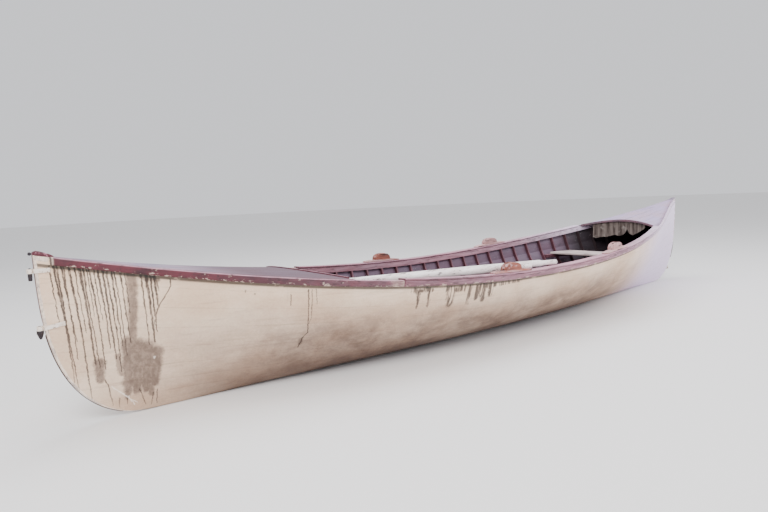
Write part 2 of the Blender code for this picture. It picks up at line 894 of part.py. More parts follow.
def oar_rings():
    """Rings of an oar along its own X, grip end at 0, blade tip at -length."""
    # distance from the grip end, half width, half thickness
    stations = (
        (0.000, 0.011, 0.011), (0.004, GRIP_RADIUS, GRIP_RADIUS), (0.105, GRIP_RADIUS, GRIP_RADIUS),
        (0.120, LOOM_RADIUS, LOOM_RADIUS), (0.620, LOOM_RADIUS, LOOM_RADIUS), (1.050, 0.0165, 0.0165),
        (1.380, 0.0145, 0.0145), (1.520, 0.026, 0.011), (1.640, 0.046, 0.0075), (1.800, 0.058, 0.0055),
        (1.960, BLADE_WIDE, BLADE_THICK), (2.090, 0.058, 0.0035), (OAR_LENGTH, 0.045, 0.003),
    )
    sides = 12
    rings = []
    for back, wide, thick in stations:
        ring = []
        for i in range(sides):
            angle = 2 * math.pi * i / sides
            ring.append(Vector((-back, thick * math.cos(angle), wide * math.sin(angle))))
        rings.append(ring)
    return rings


def build_oars():
    """Two oars stowed along the starboard side, blades under the stern deck."""
    for name, grip_x, grip_y, clear, tip_y, tip_z in OARS:
        rest = cap_top(grip_x).z + GRIP_RADIUS + clear
        grip = Vector((grip_x, grip_y, rest))
        flat = math.sqrt(OAR_LENGTH ** 2 - (tip_y - grip_y) ** 2 - (tip_z - rest) ** 2)
        tip = Vector((grip_x - flat, tip_y, tip_z))
        along = (grip - tip).normalized()
        across = Vector((0, 0, 1)).cross(along).normalized()
        up = along.cross(across)
        turn = Matrix((along, across, up)).transposed()
        rings = [[grip + turn @ p for p in ring] for ring in oar_rings()]
        loft(name, rings, "oar_white")


# Stern fittings

def strap_ring(back, z_middle):
    """One ring of a gudgeon strap on port: back is the way from the stem's face."""
    half_high = 0.5 * STRAP_HIGH
    inner = []
    outer = []
    for z in (z_middle - half_high, z_middle + half_high):
        face = stem_face(z)
        off = FACET_GAP
        if back == 0:
            inner.append(Vector((face + off, 0, z)))
            outer.append(Vector((face + off + STRAP_THICK, 0, z)))
        elif back < STEM_HALF:
            y = 0.0100 + 0.0042 * (back - 0.0015) / 0.0045
            inner.append(Vector((face - back, y, z)))
            outer.append(Vector((face - back + 0.7 * STRAP_THICK, y + 0.7 * STRAP_THICK, z)))
        else:
            y = outside_at(face - back, z) + off
            inner.append(Vector((face - back, y, z)))
            outer.append(Vector((face - back, y + STRAP_THICK, z)))
    return [inner[0], outer[0], outer[1], inner[1]]


def as_tool(tool, name):
    """Keep a primitive as a cutter or a shape to join, out of the parts."""
    tool.name = name
    for owner in list(tool.users_collection):
        owner.objects.unlink(tool)
    CUTTERS.objects.link(tool)
    tool.hide_render = True
    tool.display_type = "WIRE"


def build_gudgeons():
    """Straps round the stern stem, each with an eye and a stub of its pin."""
    for name, eye_z, slope, leg in GUDGEONS:
        backs = spaced(leg, 0.018, 6) + [0.006, 0.0015, 0]
        port = [strap_ring(back, eye_z + slope * back / leg) for back in backs]
        path = port + [[other_side(p) for p in ring] for ring in reversed(port[:-1])]
        rings = [[Vector((-p.x, p.y, p.z)) for p in ring] for ring in path]
        strap = loft(f"gudgeon_{name}", rings, "canvas_cream")
        centre = Vector((-(stem_face(eye_z) + EYE_RADIUS + 0.003), 0, eye_z))
        bpy.ops.mesh.primitive_cylinder_add(vertices=20, radius=EYE_RADIUS, depth=STRAP_HIGH,
                                            location=centre)
        eye = bpy.context.active_object
        as_tool(eye, f"eye_{name}")
        bpy.ops.mesh.primitive_cylinder_add(vertices=16, radius=EYE_HOLE, depth=2 * STRAP_HIGH,
                                            location=centre)
        drill = bpy.context.active_object
        as_tool(drill, f"pin_hole_{name}")
        join = strap.modifiers.new("eye", "BOOLEAN")
        join.operation = "UNION"
        join.object = eye
        cut(strap, drill)
        build_pin(name, centre)


def build_pin(name, centre):
    """The dark stub left in a gudgeon's eye, hanging just below it."""
    top = 0.5 * STRAP_HIGH
    # radius, height from the middle of the eye
    profiles = {
        "upper": ((0.0, top + 0.003), (0.0042, top + 0.003), (0.0042, -top - GAP), (0.0075, -top - GAP),
                  (0.0080, -0.020), (0.0070, -0.034), (0.0, -0.036)),
        "lower": ((0.0, top + 0.001), (0.0042, top + 0.001), (0.0042, -top - GAP), (0.0125, -top - GAP),
                  (0.0125, -0.020), (0.0050, -0.038), (0.0, -0.041)),
    }
    sides = 14
    corners = []
    faces = []
    profile = profiles[name]
    corners.append(centre + Vector((0, 0, profile[0][1])))
    for radius, z in profile[1:-1]:
        for i in range(sides):
            angle = 2 * math.pi * i / sides
            corners.append(centre + Vector((radius * math.cos(angle), radius * math.sin(angle), z)))
    corners.append(centre + Vector((0, 0, profile[-1][1])))
    rows = len(profile) - 2
    for i in range(sides):
        j = (i + 1) % sides
        faces.append((0, 1 + i, 1 + j))
        for r in range(rows - 1):
            a = 1 + r * sides
            b = a + sides
            faces.append((a + i, b + i, b + j, a + j))
        last = 1 + (rows - 1) * sides
        faces.append((last + i, len(corners) - 1, last + j))
    mesh = mesh_from(f"gudgeon_pin_{name}", corners, faces)
    add_object(f"gudgeon_pin_{name}", mesh, "iron_dark")


def build_bow_eye():
    """A ring bolt low on the bow stem: a round boss and the ring below it."""
    low, high = facet_run(0.105)
    lean_run = (high - low).normalized()
    out = Vector((lean_run.z, 0, -lean_run.x))
    base = 0.5 * (low + high) + out * GAP
    thick = 0.010
    turn = out.to_track_quat("Z", "Y").to_matrix().to_4x4()
    bpy.ops.mesh.primitive_cylinder_add(vertices=20, radius=0.0125, depth=thick)
    boss = bpy.context.active_object
    boss.name = "bow_ring_bolt"
    for owner in list(boss.users_collection):
        owner.objects.unlink(boss)
    PARTS.objects.link(boss)
    boss.matrix_world = Matrix.Translation(base + out * 0.5 * thick) @ turn
    boss.data.materials.append(finish("bare_wood"))
    bpy.ops.mesh.primitive_torus_add(major_radius=0.0100, minor_radius=0.0028, major_segments=16,
                                     minor_segments=8)
    ring = bpy.context.active_object
    as_tool(ring, "ring_tool")
    ring.matrix_world = (Matrix.Translation(base + out * (thick + 0.006) - lean_run * 0.004)
                         @ turn @ Matrix.Rotation(math.radians(90), 4, "X"))
    join = boss.modifiers.new("ring", "BOOLEAN")
    join.operation = "UNION"
    join.object = ring


build_hull()
build_stems()
build_stem_bands()
build_ribs()
build_rails()
build_decks()
build_apron()
build_seats()
build_locks()
build_oars()
build_gudgeons()
build_bow_eye()
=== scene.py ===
"""Looks of a canvas-covered rowing guideboat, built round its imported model.

Metres, +Z up, +X to the bow and +Y to port. The origin is on the floor under
the middle of the boat. The stern is the near end in the main view.
"""

import logging
import math
from dataclasses import dataclass
from enum import Enum
from typing import Callable, Optional, Sequence, Union

import bpy
from mathutils import Matrix, Vector, noise


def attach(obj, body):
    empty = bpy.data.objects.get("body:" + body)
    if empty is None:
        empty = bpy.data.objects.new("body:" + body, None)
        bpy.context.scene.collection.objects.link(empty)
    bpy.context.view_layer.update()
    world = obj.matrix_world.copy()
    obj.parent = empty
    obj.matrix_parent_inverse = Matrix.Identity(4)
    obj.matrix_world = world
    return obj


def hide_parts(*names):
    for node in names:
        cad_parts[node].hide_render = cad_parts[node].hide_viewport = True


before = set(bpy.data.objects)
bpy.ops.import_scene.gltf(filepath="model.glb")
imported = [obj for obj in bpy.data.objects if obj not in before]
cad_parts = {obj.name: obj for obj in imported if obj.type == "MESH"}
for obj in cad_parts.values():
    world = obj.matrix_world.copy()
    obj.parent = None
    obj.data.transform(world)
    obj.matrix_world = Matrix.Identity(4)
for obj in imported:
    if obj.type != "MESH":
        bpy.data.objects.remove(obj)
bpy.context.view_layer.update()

LOG = logging.getLogger("guideboat")
Colour = tuple[float, float, float, float]
Pair = tuple[float, float]
Ring = list[Vector]
Socket = bpy.types.NodeSocket
Feed = Union[float, tuple, Socket, "Value"]
Inputs = dict[Union[int, str], Feed]
Triple = tuple[float, float, float]
Node = bpy.types.Node
Piece = bpy.types.Object
Material = bpy.types.Material


class Slot(Enum):
    """The record's material slots."""

    HULL = "hull_canvas"
    STEM = "stem_paint"
    CAP = "cap_maroon"
    RAIL = "rail_paint"
    DECK = "deck_paint"
    INNER = "inner_paint"
    SEAT = "seat_paint"
    BLOCK = "block_wood"
    OAR = "oar_paint"
    IRON = "iron"
    BAND = "band_metal"
    BOLT = "bolt_metal"
    GUDGEON = "gudgeon_paint"
    APRON = "apron_canvas"


class Side(Enum):
    """The two sides of the boat, as the sign of Y."""

    PORT = 1
    STARBOARD = -1


class End(Enum):
    """The two ends of the boat, as the sign of X."""

    STERN = -1
    BOW = 1


# Shape of the hull

@dataclass(frozen=True)
class HullForm:
    """The faired hull: s is the share of the half length, t of the height."""

    half: float = 2.44
    beam_half: float = 0.517
    stem_half: float = 0.014
    depth: float = 0.383
    sheer_rise: float = 0.285
    flat_mid: float = 0.048
    flat_end: float = 0.010
    rocker: float = 0.0035
    rocker_start: float = 0.55
    proud: float = 0.0015
    forefoot: float = 0.337
    rake: float = 0.013
    lean_start: float = 0.30
    plan_power: float = 2.6
    plan_fullness: float = 1.45
    stem_power: float = 1.97
    stem_fullness: float = 3.14
    section_power: float = 1.75
    section_fullness: float = 1.8
    vee_blend: float = 2.2
    vee: float = 0.75

    def half_breadth(self, s: float) -> float:
        """Half-breadth at the sheer.

        Args:
            s: length share.

        Returns:
            The half-breadth outside the skin.
        """
        share = min(abs(s), 1.0) ** self.plan_power
        return self.stem_half + self.beam_half * (1 - share) ** self.plan_fullness

    def sheer(self, s: float) -> float:
        """Height of the sheer at a length share."""
        return self.depth + self.sheer_rise * s * s

    def keel(self, s: float) -> float:
        """Height of the planking's lowest edge at a length share."""
        rise = max(0.0, (abs(s) - self.rocker_start) / (1 - self.rocker_start))
        return self.proud + self.rocker * rise * rise

    def inset(self, t: float) -> float:
        """How far the stem stands in from the end at a height share."""
        curve = 1 - (1 - (1 - t) ** self.stem_fullness) ** (1 / self.stem_power)
        return self.forefoot * curve + self.rake * (1 - t)

    def place(self, s: float, t: float) -> float:
        """Place along the boat of a station at a height share."""
        lean = max(0.0, (abs(s) - self.lean_start) / (1 - self.lean_start)) ** 2
        return self.half * s - math.copysign(self.inset(t) * lean, s)

    def flat(self, s: float) -> float:
        """Half-breadth of the flat bottom at a length share."""
        return self.flat_end + (self.flat_mid - self.flat_end) * (1 - s * s)

    def level(self, k: float) -> float:
        """Height share of a level from 0 to 10, closer together low down."""
        return 1 - max(0.0, math.cos(0.05 * math.pi * k)) ** (2 / self.section_power)

    def skin(self, s: float, t: float) -> Vector:
        """A point on the outside of the port skin.

        Args:
            s: length share.
            t: height share.

        Returns:
            The point.
        """
        t = min(max(t, 0.0), 1.0)
        vee = abs(s) ** self.vee_blend
        round_share = (1 - (1 - t) ** self.section_power) ** (1 / self.section_fullness)
        share = (1 - vee) * round_share + vee * t ** self.vee
        low = self.keel(s)
        y = self.flat(s) + (self.half_breadth(s) - self.flat(s)) * share
        return Vector((self.place(s, t), y, low + t * (self.sheer(s) - low)))

    def normal(self, s: float, t: float) -> Vector:
        """Outward normal of the port skin at a point."""
        step = 0.004
        low, high = max(t - step, 0.0), min(t + step, 1.0)
        along = self.skin(s + step, t) - self.skin(s - step, t)
        normal = along.cross(self.skin(s, high) - self.skin(s, low))
        if normal.y < 0:
            normal.negate()
        return normal.normalized()

    def under(self, s: float, t: float, depth: float) -> Vector:
        """A point under the port skin, square to it."""
        return self.skin(s, t) - self.normal(s, t) * depth

    def share_at(self, x: float, t: float) -> float:
        """Length share of the station that has a place x at a height share."""
        low, high = -1.0, 1.0
        for _ in range(36):
            middle = 0.5 * (low + high)
            if self.place(middle, t) < x:
                low = middle
            else:
                high = middle
        return 0.5 * (low + high)

    def in_plane(self, x: float, t: float, depth: float) -> Vector:
        """A point under the port skin by a depth, in the plane x."""
        s = self.share_at(x, t)
        normal = self.normal(s, t)
        flat = Vector((0, normal.y, normal.z))
        point = self.skin(s, t) - flat * depth / flat.length_squared
        point.x = x
        return point

    def breadth_at(self, x: float, z: float, depth: float = 0.0) -> float:
        """Half-breadth under the skin by a depth at a place and height.

        Args:
            x: place along the boat.
            z: height.
            depth: how far under the skin.

        Returns:
            The half-breadth there.
        """
        t = 0.5
        point = Vector()
        for _ in range(9):
            point = self.in_plane(x, t, depth)
            s = self.share_at(x, t)
            t = min(max(t + (z - point.z) / (self.sheer(s) - self.keel(s)), 0.0), 1.0)
        return point.y

    def face(self, z: float) -> float:
        """How far from the middle the stem's face stands at a height."""
        return self.place(1, (z - self.keel(1)) / (self.sheer(1) - self.keel(1)))

    def rim(self, x: float, out: float = 0.0, rise: float = 0.0) -> Vector:
        """A point at the port sheer, moved outwards and up."""
        s = x / self.half
        return Vector((x, self.half_breadth(s) + out, self.sheer(s) + rise))


FORM = HullForm()
# Heights of the gunwale cap's two faces over the sheer
CAP_UNDER = 0.0017
CAP_TOP = 0.0117


def spaced(first: float, last: float, count: int) -> list[float]:
    """Evenly spaced values, both ends included."""
    return [first + (last - first) * i / (count - 1) for i in range(count)]


def fair_shares(end: float, count: int) -> list[float]:
    """Length shares from end to end, closer together at the stems."""
    evens = spaced(-1, 1, count)
    return [end * (0.72 * e + 0.28 * math.sin(0.5 * math.pi * e)) for e in evens]


def to_side(point: Vector, side: Side) -> Vector:
    """A port point on the wanted side."""
    return Vector((point.x, side.value * point.y, point.z))


def mirrored(port: Sequence[Vector]) -> Ring:
    """Port points on starboard, in reverse order."""
    return [to_side(p, Side.STARBOARD) for p in reversed(port)]


def ramped(table: Sequence[Pair], x: float) -> float:
    """The value of a table of (place, value) at x, in straight runs."""
    if x <= table[0][0]:
        return table[0][1]
    for (x0, v0), (x1, v1) in zip(table, table[1:]):
        if x <= x1:
            return v0 + (v1 - v0) * (x - x0) / (x1 - x0)
    return table[-1][1]


def rounded(corners: Sequence[Pair], radius: float, steps: int = 3) -> list[Pair]:
    """An outline with each corner turned into a short curve.

    Args:
        corners: the outline's corners in order.
        radius: how far from a corner its curve starts.
        steps: runs in each curve.

    Returns:
        The finer outline.
    """
    made = []
    for i, corner in enumerate(corners):
        here = Vector(corner)
        back = Vector(corners[i - 1]) - here
        ahead = Vector(corners[(i + 1) % len(corners)]) - here
        start = here + back.normalized() * min(radius, 0.45 * back.length)
        end = here + ahead.normalized() * min(radius, 0.45 * ahead.length)
        for f in spaced(0, 1, steps + 1):
            p = start * (1 - f) ** 2 + here * (2 * f * (1 - f)) + end * f * f
            made.append((p.x, p.y))
    return made


# Bench work: primitives shaped with edit-mode operators

def alone(piece: Piece) -> Piece:
    """Select one piece and nothing else."""
    bpy.ops.object.select_all(action="DESELECT")
    piece.select_set(True)
    bpy.context.view_layer.objects.active = piece
    return piece


def weld(piece: Piece, fill: bool = False) -> None:
    """Merge a piece's doubled points and turn its faces outwards.

    Args:
        piece: the piece.
        fill: whether open ends are filled.
    """
    bpy.context.view_layer.objects.active = piece
    bpy.ops.object.mode_set(mode="EDIT")
    bpy.ops.mesh.select_all(action="SELECT")
    bpy.ops.mesh.remove_doubles(threshold=1e-6)
    if fill:
        bpy.ops.mesh.fill_holes(sides=0)
        bpy.ops.mesh.select_all(action="SELECT")
    bpy.ops.mesh.normals_make_consistent(inside=False)
    bpy.ops.object.mode_set(mode="OBJECT")


def lay_sections(name: str, rings: Sequence[Sequence[Vector]], closed: bool = True,
                 angle: float = 35.0) -> Piece:
    """A primitive grid laid over sections, then closed, merged and smoothed.

    Args:
        name: the piece's name.
        rings: sections of equally many points.
        closed: whether each section is a closed outline, whose ends get filled.
        angle: edges sharper than this many degrees stay sharp.

    Returns:
        The piece, with its faces outwards.
    """
    columns = len(rings[0]) + (1 if closed else 0)
    bpy.ops.object.select_all(action="DESELECT")
    bpy.ops.mesh.primitive_grid_add(x_subdivisions=columns - 1, y_subdivisions=len(rings) - 1,
                                    size=1, calc_uvs=True)
    piece = bpy.context.active_object
    piece.name = name
    piece.data.name = name
    flat = []
    for ring in rings:
        for point in (list(ring) + [ring[0]] if closed else ring):
            flat.extend(point)
    piece.data.vertices.foreach_set("co", flat)
    piece.data.update()
    weld(piece, fill=closed)
    return smooth(piece, angle)


def smooth(piece: Piece, angle: float = 35.0) -> Piece:
    """Shade a piece smooth but for its sharp edges."""
    alone(piece)
    bpy.ops.object.shade_smooth_by_angle(angle=math.radians(angle))
    return piece


def thicken(piece: Piece, thickness: float,
            outwards: Callable[[bpy.types.MeshPolygon], bool]) -> Piece:
    """Turn an open sheet's faces the right way and give it a thickness inwards.

    Args:
        piece: the sheet.
        thickness: how thick it gets.
        outwards: tells whether a face already looks outwards.

    Returns:
        The same piece.
    """
    alone(piece)
    if not outwards(piece.data.polygons[len(piece.data.polygons) // 3]):
        bpy.ops.object.mode_set(mode="EDIT")
        bpy.ops.mesh.select_all(action="SELECT")
        bpy.ops.mesh.flip_normals()
        bpy.ops.object.mode_set(mode="OBJECT")
    wall = piece.modifiers.new("wall", "SOLIDIFY")
    wall.thickness = thickness
    wall.offset = -1
    bpy.ops.object.modifier_apply(modifier=wall.name)
    return smooth(piece)


def turned(name: str, profile: Sequence[Pair], centre: Vector, sides: int = 32,
           turn: Optional[Matrix] = None) -> Piece:
    """A turned piece: circles of (radius, height) on an upright axis.

    Args:
        name: the piece's name.
        profile: (radius, height) pairs from one end to the other.
        centre: the place of the axis at height 0.
        sides: faces round the axis.
        turn: a rotation of the axis, if it isn't upright.

    Returns:
        The piece.
    """
    turn = turn or Matrix.Identity(3)
    rings = []
    for radius, height in profile:
        ring = []
        for i in range(sides):
            angle = 2 * math.pi * i / sides
            spot = Vector((radius * math.cos(angle), radius * math.sin(angle), height))
            ring.append(centre + turn @ spot)
        rings.append(ring)
    return lay_sections(name, rings)


def joined(name: str, pieces: Sequence[Piece]) -> Piece:
    """Join pieces into one under a name."""
    bpy.ops.object.select_all(action="DESELECT")
    for piece in pieces:
        piece.select_set(True)
    bpy.context.view_layer.objects.active = pieces[0]
    if len(pieces) > 1:
        bpy.ops.object.join()
    pieces[0].name = name
    pieces[0].data.name = name
    return pieces[0]


def soften(piece: Piece, width: float, segments: int = 2, angle: float = 40.0) -> Piece:
    """Bevel a piece's sharp edges and apply it."""
    alone(piece)
    edge = piece.modifiers.new("edge", "BEVEL")
    edge.width = width
    edge.segments = segments
    edge.limit_method = "ANGLE"
    edge.angle_limit = math.radians(angle)
    bpy.ops.object.modifier_apply(modifier=edge.name)
    return smooth(piece)


def worn(piece: Piece, depth: float, scale: Triple, seed: float = 0.0) -> Piece:
    """Move a piece's points a little by a smooth field, as wear does.

    Args:
        piece: the piece.
        depth: the most a point moves inwards.
        scale: how fast the field changes along each axis, per metre.
        seed: where in the field the piece lies.

    Returns:
        The same piece.
    """
    for vertex in piece.data.vertices:
        at = Vector((vertex.co.x * scale[0] + seed, vertex.co.y * scale[1], vertex.co.z * scale[2]))
        vertex.co -= vertex.normal * depth * (0.5 + 0.5 * noise.noise(at))
    piece.data.update()
    return piece


def dress(piece: Piece, material: Material, slot: Slot, *stands_for: str) -> Piece:
    """Give a finished piece its material and body.

    Args:
        piece: the piece.
        material: its finish.
        slot: the record's slot of that finish; not used.
        stands_for: the CAD nodes that it replaces.

    Returns:
        The same piece.
    """
    piece.data.materials.clear()
    piece.data.materials.append(material)
    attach(piece, "root")
    if stands_for:
        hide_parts(*stands_for)
    LOG.info("%s: %d faces, stands for %s", piece.name, len(piece.data.polygons),
             ", ".join(stands_for) or "nothing")
    return piece


def repaint(node: str, material: Material) -> None:
    """Give a CAD node that keeps its shape a better material."""
    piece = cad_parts[node]
    for place in piece.material_slots:
        place.material = material
    LOG.info("%s: repainted", node)


# Node recipes

def tint(red: int, green: int, blue: int) -> Colour:
    """A paint colour given as the eye sees it, 0 to 255."""
    def light(part: int) -> float:
        """One channel as shader light."""
        v = part / 255
        return v / 12.92 if v <= 0.04045 else ((v + 0.055) / 1.055) ** 2.4
    return (light(red), light(green), light(blue), 1.0)


class Value:
    """A number in a node tree, so that sums in a recipe are written as sums."""

    def __init__(self, bench: "Bench", socket: Socket) -> None:
        """Keep the socket and the bench that it stands on."""
        self.bench = bench
        self.socket = socket

    def __add__(self, other: Feed) -> "Value":
        """Sum."""
        return self.bench.math("ADD", self, other)

    __radd__ = __add__

    def __mul__(self, other: Feed) -> "Value":
        """Product."""
        return self.bench.math("MULTIPLY", self, other)

    __rmul__ = __mul__

    def __sub__(self, other: Feed) -> "Value":
        """Difference."""
        return self.bench.math("SUBTRACT", self, other)

    def __rsub__(self, other: float) -> "Value":
        """Difference from a number."""
        return self.bench.math("SUBTRACT", other, self)

    def __truediv__(self, other: Feed) -> "Value":
        """Quotient."""
        return self.bench.math("DIVIDE", self, other)

    def __pow__(self, other: float) -> "Value":
        """Power."""
        return self.bench.math("POWER", self, other)

    def __abs__(self) -> "Value":
        """Size without the sign."""
        return self.bench.math("ABSOLUTE", self)


class Bench:
    """A node tree that nodes are laid on, each after what feeds it."""

    def __init__(self, tree: bpy.types.NodeTree) -> None:
        """Take up the tree."""
        self.nodes = tree.nodes
        self.links = tree.links

    def feed(self, socket: Socket, value: Feed) -> None:
        """Link a value to a socket, or set its number."""
        if isinstance(value, Value):
            value = value.socket
        if isinstance(value, bpy.types.NodeSocket):
            self.links.new(value, socket)
        else:
            socket.default_value = value

    def lay(self, kind: str, inputs: Inputs, **choices: object) -> Node:
        """A shader node.

        Args:
            kind: its type, without the usual first word.
            inputs: what goes into its sockets, by place or name.
            choices: its settings.

        Returns:
            The node.
        """
        node = self.nodes.new(f"ShaderNode{kind}")
        for name, choice in choices.items():
            setattr(node, name, choice)
        for place, value in inputs.items():
            self.feed(node.inputs[place], value)
        return node

    def math(self, kind: str, *inputs: Feed) -> Value:
        """A Math node's result."""
        return Value(self, self.lay("Math", dict(enumerate(inputs)), operation=kind).outputs[0])

    def step(self, value: Feed, none: float, full: float) -> Value:
        """A soft step that is 0 at none and 1 at full, either way round."""
        ends = (0.0, 1.0) if none < full else (1.0, 0.0)
        inputs = dict(enumerate((value, min(none, full), max(none, full), *ends)))
        node = self.lay("MapRange", inputs, interpolation_type="SMOOTHSTEP")
        return Value(self, node.outputs[0])


class Recipe(Bench):
    """A material's node tree, built a coat at a time."""

    def __init__(self, name: str) -> None:
        """Start a Principled material with its Object coordinates at hand."""
        self.material = bpy.data.materials.new(name)
        self.material.use_nodes = True
        super().__init__(self.material.node_tree)
        self.place: Socket = self.lay("TexCoord", {}).outputs["Object"]
        self.x, self.y, self.z = self.split(self.place)
        self.up = self.split(self.lay("NewGeometry", {}).outputs["Normal"])[2]
        self.colour: Feed = (1, 1, 1, 1)

    def split(self, vector: Socket) -> list[Value]:
        """The three numbers of a vector."""
        return [Value(self, out) for out in self.lay("SeparateXYZ", {0: vector}).outputs]

    def joined(self, x: Value, y: Value) -> Socket:
        """A vector of two values and 0."""
        return self.lay("CombineXYZ", {0: x, 1: y}).outputs[0]

    def most(self, first: Value, *others: Feed) -> Value:
        """Largest of values."""
        for other in others:
            first = self.math("MAXIMUM", first, other)
        return first

    def mix(self, share: Feed, low: Feed, high: Feed, blend: str = "MIX") -> Socket:
        """Two colours mixed."""
        inputs = {0: share, 6: low, 7: high}
        return self.lay("Mix", inputs, data_type="RGBA", blend_type=blend).outputs[2]

    def coat(self, share: Feed, paint: Feed, blend: str = "MIX") -> None:
        """Lay a paint over the colour so far."""
        self.colour = self.mix(share, self.colour, paint, blend)

    def stretched(self, scale: Triple) -> Socket:
        """Object coordinates scaled along each axis."""
        return self.lay("Mapping", {"Vector": self.place, "Scale": scale}).outputs[0]

    def noise(self, scale: float, stretch: Triple = (1, 1, 1), detail: float = 4.0,
              rough: float = 0.55, bend: float = 0.0) -> Value:
        """A noise value over the stretched coordinates."""
        inputs = {"Vector": self.stretched(stretch), "Scale": scale, "Detail": detail,
                  "Roughness": rough, "Distortion": bend}
        return Value(self, self.lay("TexNoise", inputs).outputs[0])

    def cells(self, scale: float, stretch: Triple = (1, 1, 1), edge: bool = False) -> Value:
        """Distance to the nearest cell centre or cell edge."""
        inputs = {"Vector": self.stretched(stretch), "Scale": scale}
        node = self.lay("TexVoronoi", inputs, feature="DISTANCE_TO_EDGE" if edge else "F1")
        return Value(self, node.outputs["Distance"])

    def drop(self) -> Value:
        """Depth below the sheer line."""
        rise = FORM.sheer_rise / FORM.half ** 2
        return self.math("MULTIPLY_ADD", self.x * self.x, rise, FORM.depth) - self.z

    def bump(self, height: Value, distance: float, below: Optional[Socket] = None) -> Socket:
        """A bump normal, over another one if it is given."""
        inputs = {"Distance": distance, "Height": height}
        if below:
            inputs["Normal"] = below
        return self.lay("Bump", inputs).outputs[0]

    def done(self, rough: Feed, normal: Optional[Socket] = None, metal: Feed = 0.0) -> Material:
        """Wire the results into the shader and hand over the material."""
        shader = self.nodes["Principled BSDF"].inputs
        self.feed(shader["Base Color"], self.colour)
        self.feed(shader["Roughness"], rough)
        self.feed(shader["Metallic"], metal)
        if normal:
            self.feed(shader["Normal"], normal)
        return self.material


# Each stroke: x and z where it starts, x and z where it ends, half width, strength
Stroke = tuple[float, float, float, float, float, float]


class StrokeTool:
    """A node group that masks a soft, tapering line on the side of the hull."""

    taper: float = -0.35
    # Shares of the half width where the line starts to fade and where it ends
    solid: float = 0.45
    faded_and_highlight_tint: float = 1.15

    def __init__(self) -> None:
        """Build the group once."""
        self.tree = bpy.data.node_groups.new("stroke", "ShaderNodeTree")
        for label, kind in (("Point", "Vector"), ("Start", "Vector"), ("Finish", "Vector"),
                            ("Half width", "Float"), ("Strength", "Float"), ("Before", "Float")):
            self.tree.interface.new_socket(label, in_out="INPUT",
                                           socket_type=f"NodeSocket{kind}")
        self.tree.interface.new_socket("Mask", in_out="OUTPUT", socket_type="NodeSocketFloat")
        given = self.tree.nodes.new("NodeGroupInput").outputs
        result = self.tree.nodes.new("NodeGroupOutput")
        bench = Bench(self.tree)

        def vector(kind: str, inputs: Inputs) -> bpy.types.bpy_prop_collection:
            """The results of a vector step."""
            return bench.lay("VectorMath", inputs, operation=kind).outputs

        run = vector("SUBTRACT", {0: given["Finish"], 1: given["Start"]})[0]
        off = vector("SUBTRACT", {0: given["Point"], 1: given["Start"]})[0]
        dot = vector("DOT_PRODUCT", {0: off, 1: run})["Value"]
        size = vector("DOT_PRODUCT", {0: run, 1: run})["Value"]
        share = bench.math("MAXIMUM", bench.math("DIVIDE", dot, size), 0.0)
        share = bench.math("MINIMUM", share, 1.0)
        nearest = vector("SCALE", {0: run, "Scale": share})[0]
        gap = vector("SUBTRACT", {0: off, 1: nearest})[0]
        away = Value(bench, vector("LENGTH", {0: gap})["Value"])
        width = bench.math("MULTIPLY_ADD", share, self.taper, 1.0) * given["Half width"]
        mask = bench.step(away / width, self.faded_and_highlight_tint, self.solid) * given["Strength"]
        bench.feed(result.inputs[0], bench.math("MAXIMUM", mask, given["Before"]))

    def draw(self, recipe: Recipe, point: Socket, strokes: Sequence[Stroke]) -> Value:
        """Lay strokes one over another.

        Args:
            recipe: the material that they go into.
            point: the place on the hull's side, as x, z and 0.
            strokes: the strokes.

        Returns:
            The mask of them all.
        """
        mask: Feed = 0.0
        for x0, z0, x1, z1, half, strength in strokes:
            inputs = {"Point": point, "Start": (x0, z0, 0), "Finish": (x1, z1, 0),
                      "Half width": half, "Strength": strength, "Before": mask}
            mask = recipe.lay("Group", inputs, node_tree=self.tree).outputs["Mask"]
        return Value(recipe, mask)


# Rain drips down the starboard quarter: where each leaves the rail (as the
# place it would have at a height of 0.6 m), its lowest point, half width
DRIPS = (
    (-2.376, 0.175, 0.0050), (-2.366, 0.105, 0.0046), (-2.352, 0.260, 0.0038),
    (-2.345, 0.330, 0.0034), (-2.328, 0.098, 0.0054), (-2.309, 0.360, 0.0034),
    (-2.296, 0.230, 0.0070), (-2.283, 0.215, 0.0044), (-2.264, 0.205, 0.0046),
    (-2.248, 0.400, 0.0032), (-2.237, 0.285, 0.0050), (-2.221, 0.240, 0.0056),
    (-2.209, 0.185, 0.0046), (-2.193, 0.290, 0.0044), (-2.184, 0.250, 0.0036),
    (-2.164, 0.300, 0.0044), (-2.152, 0.420, 0.0030), (-2.098, 0.280, 0.0044),
    (-2.080, 0.290, 0.0070), (-2.067, 0.330, 0.0050), (-2.054, 0.430, 0.0074),
    (-2.390, 0.400, 0.0034), (-2.272, 0.420, 0.0030),
)
DRIP_SLANT = 0.085
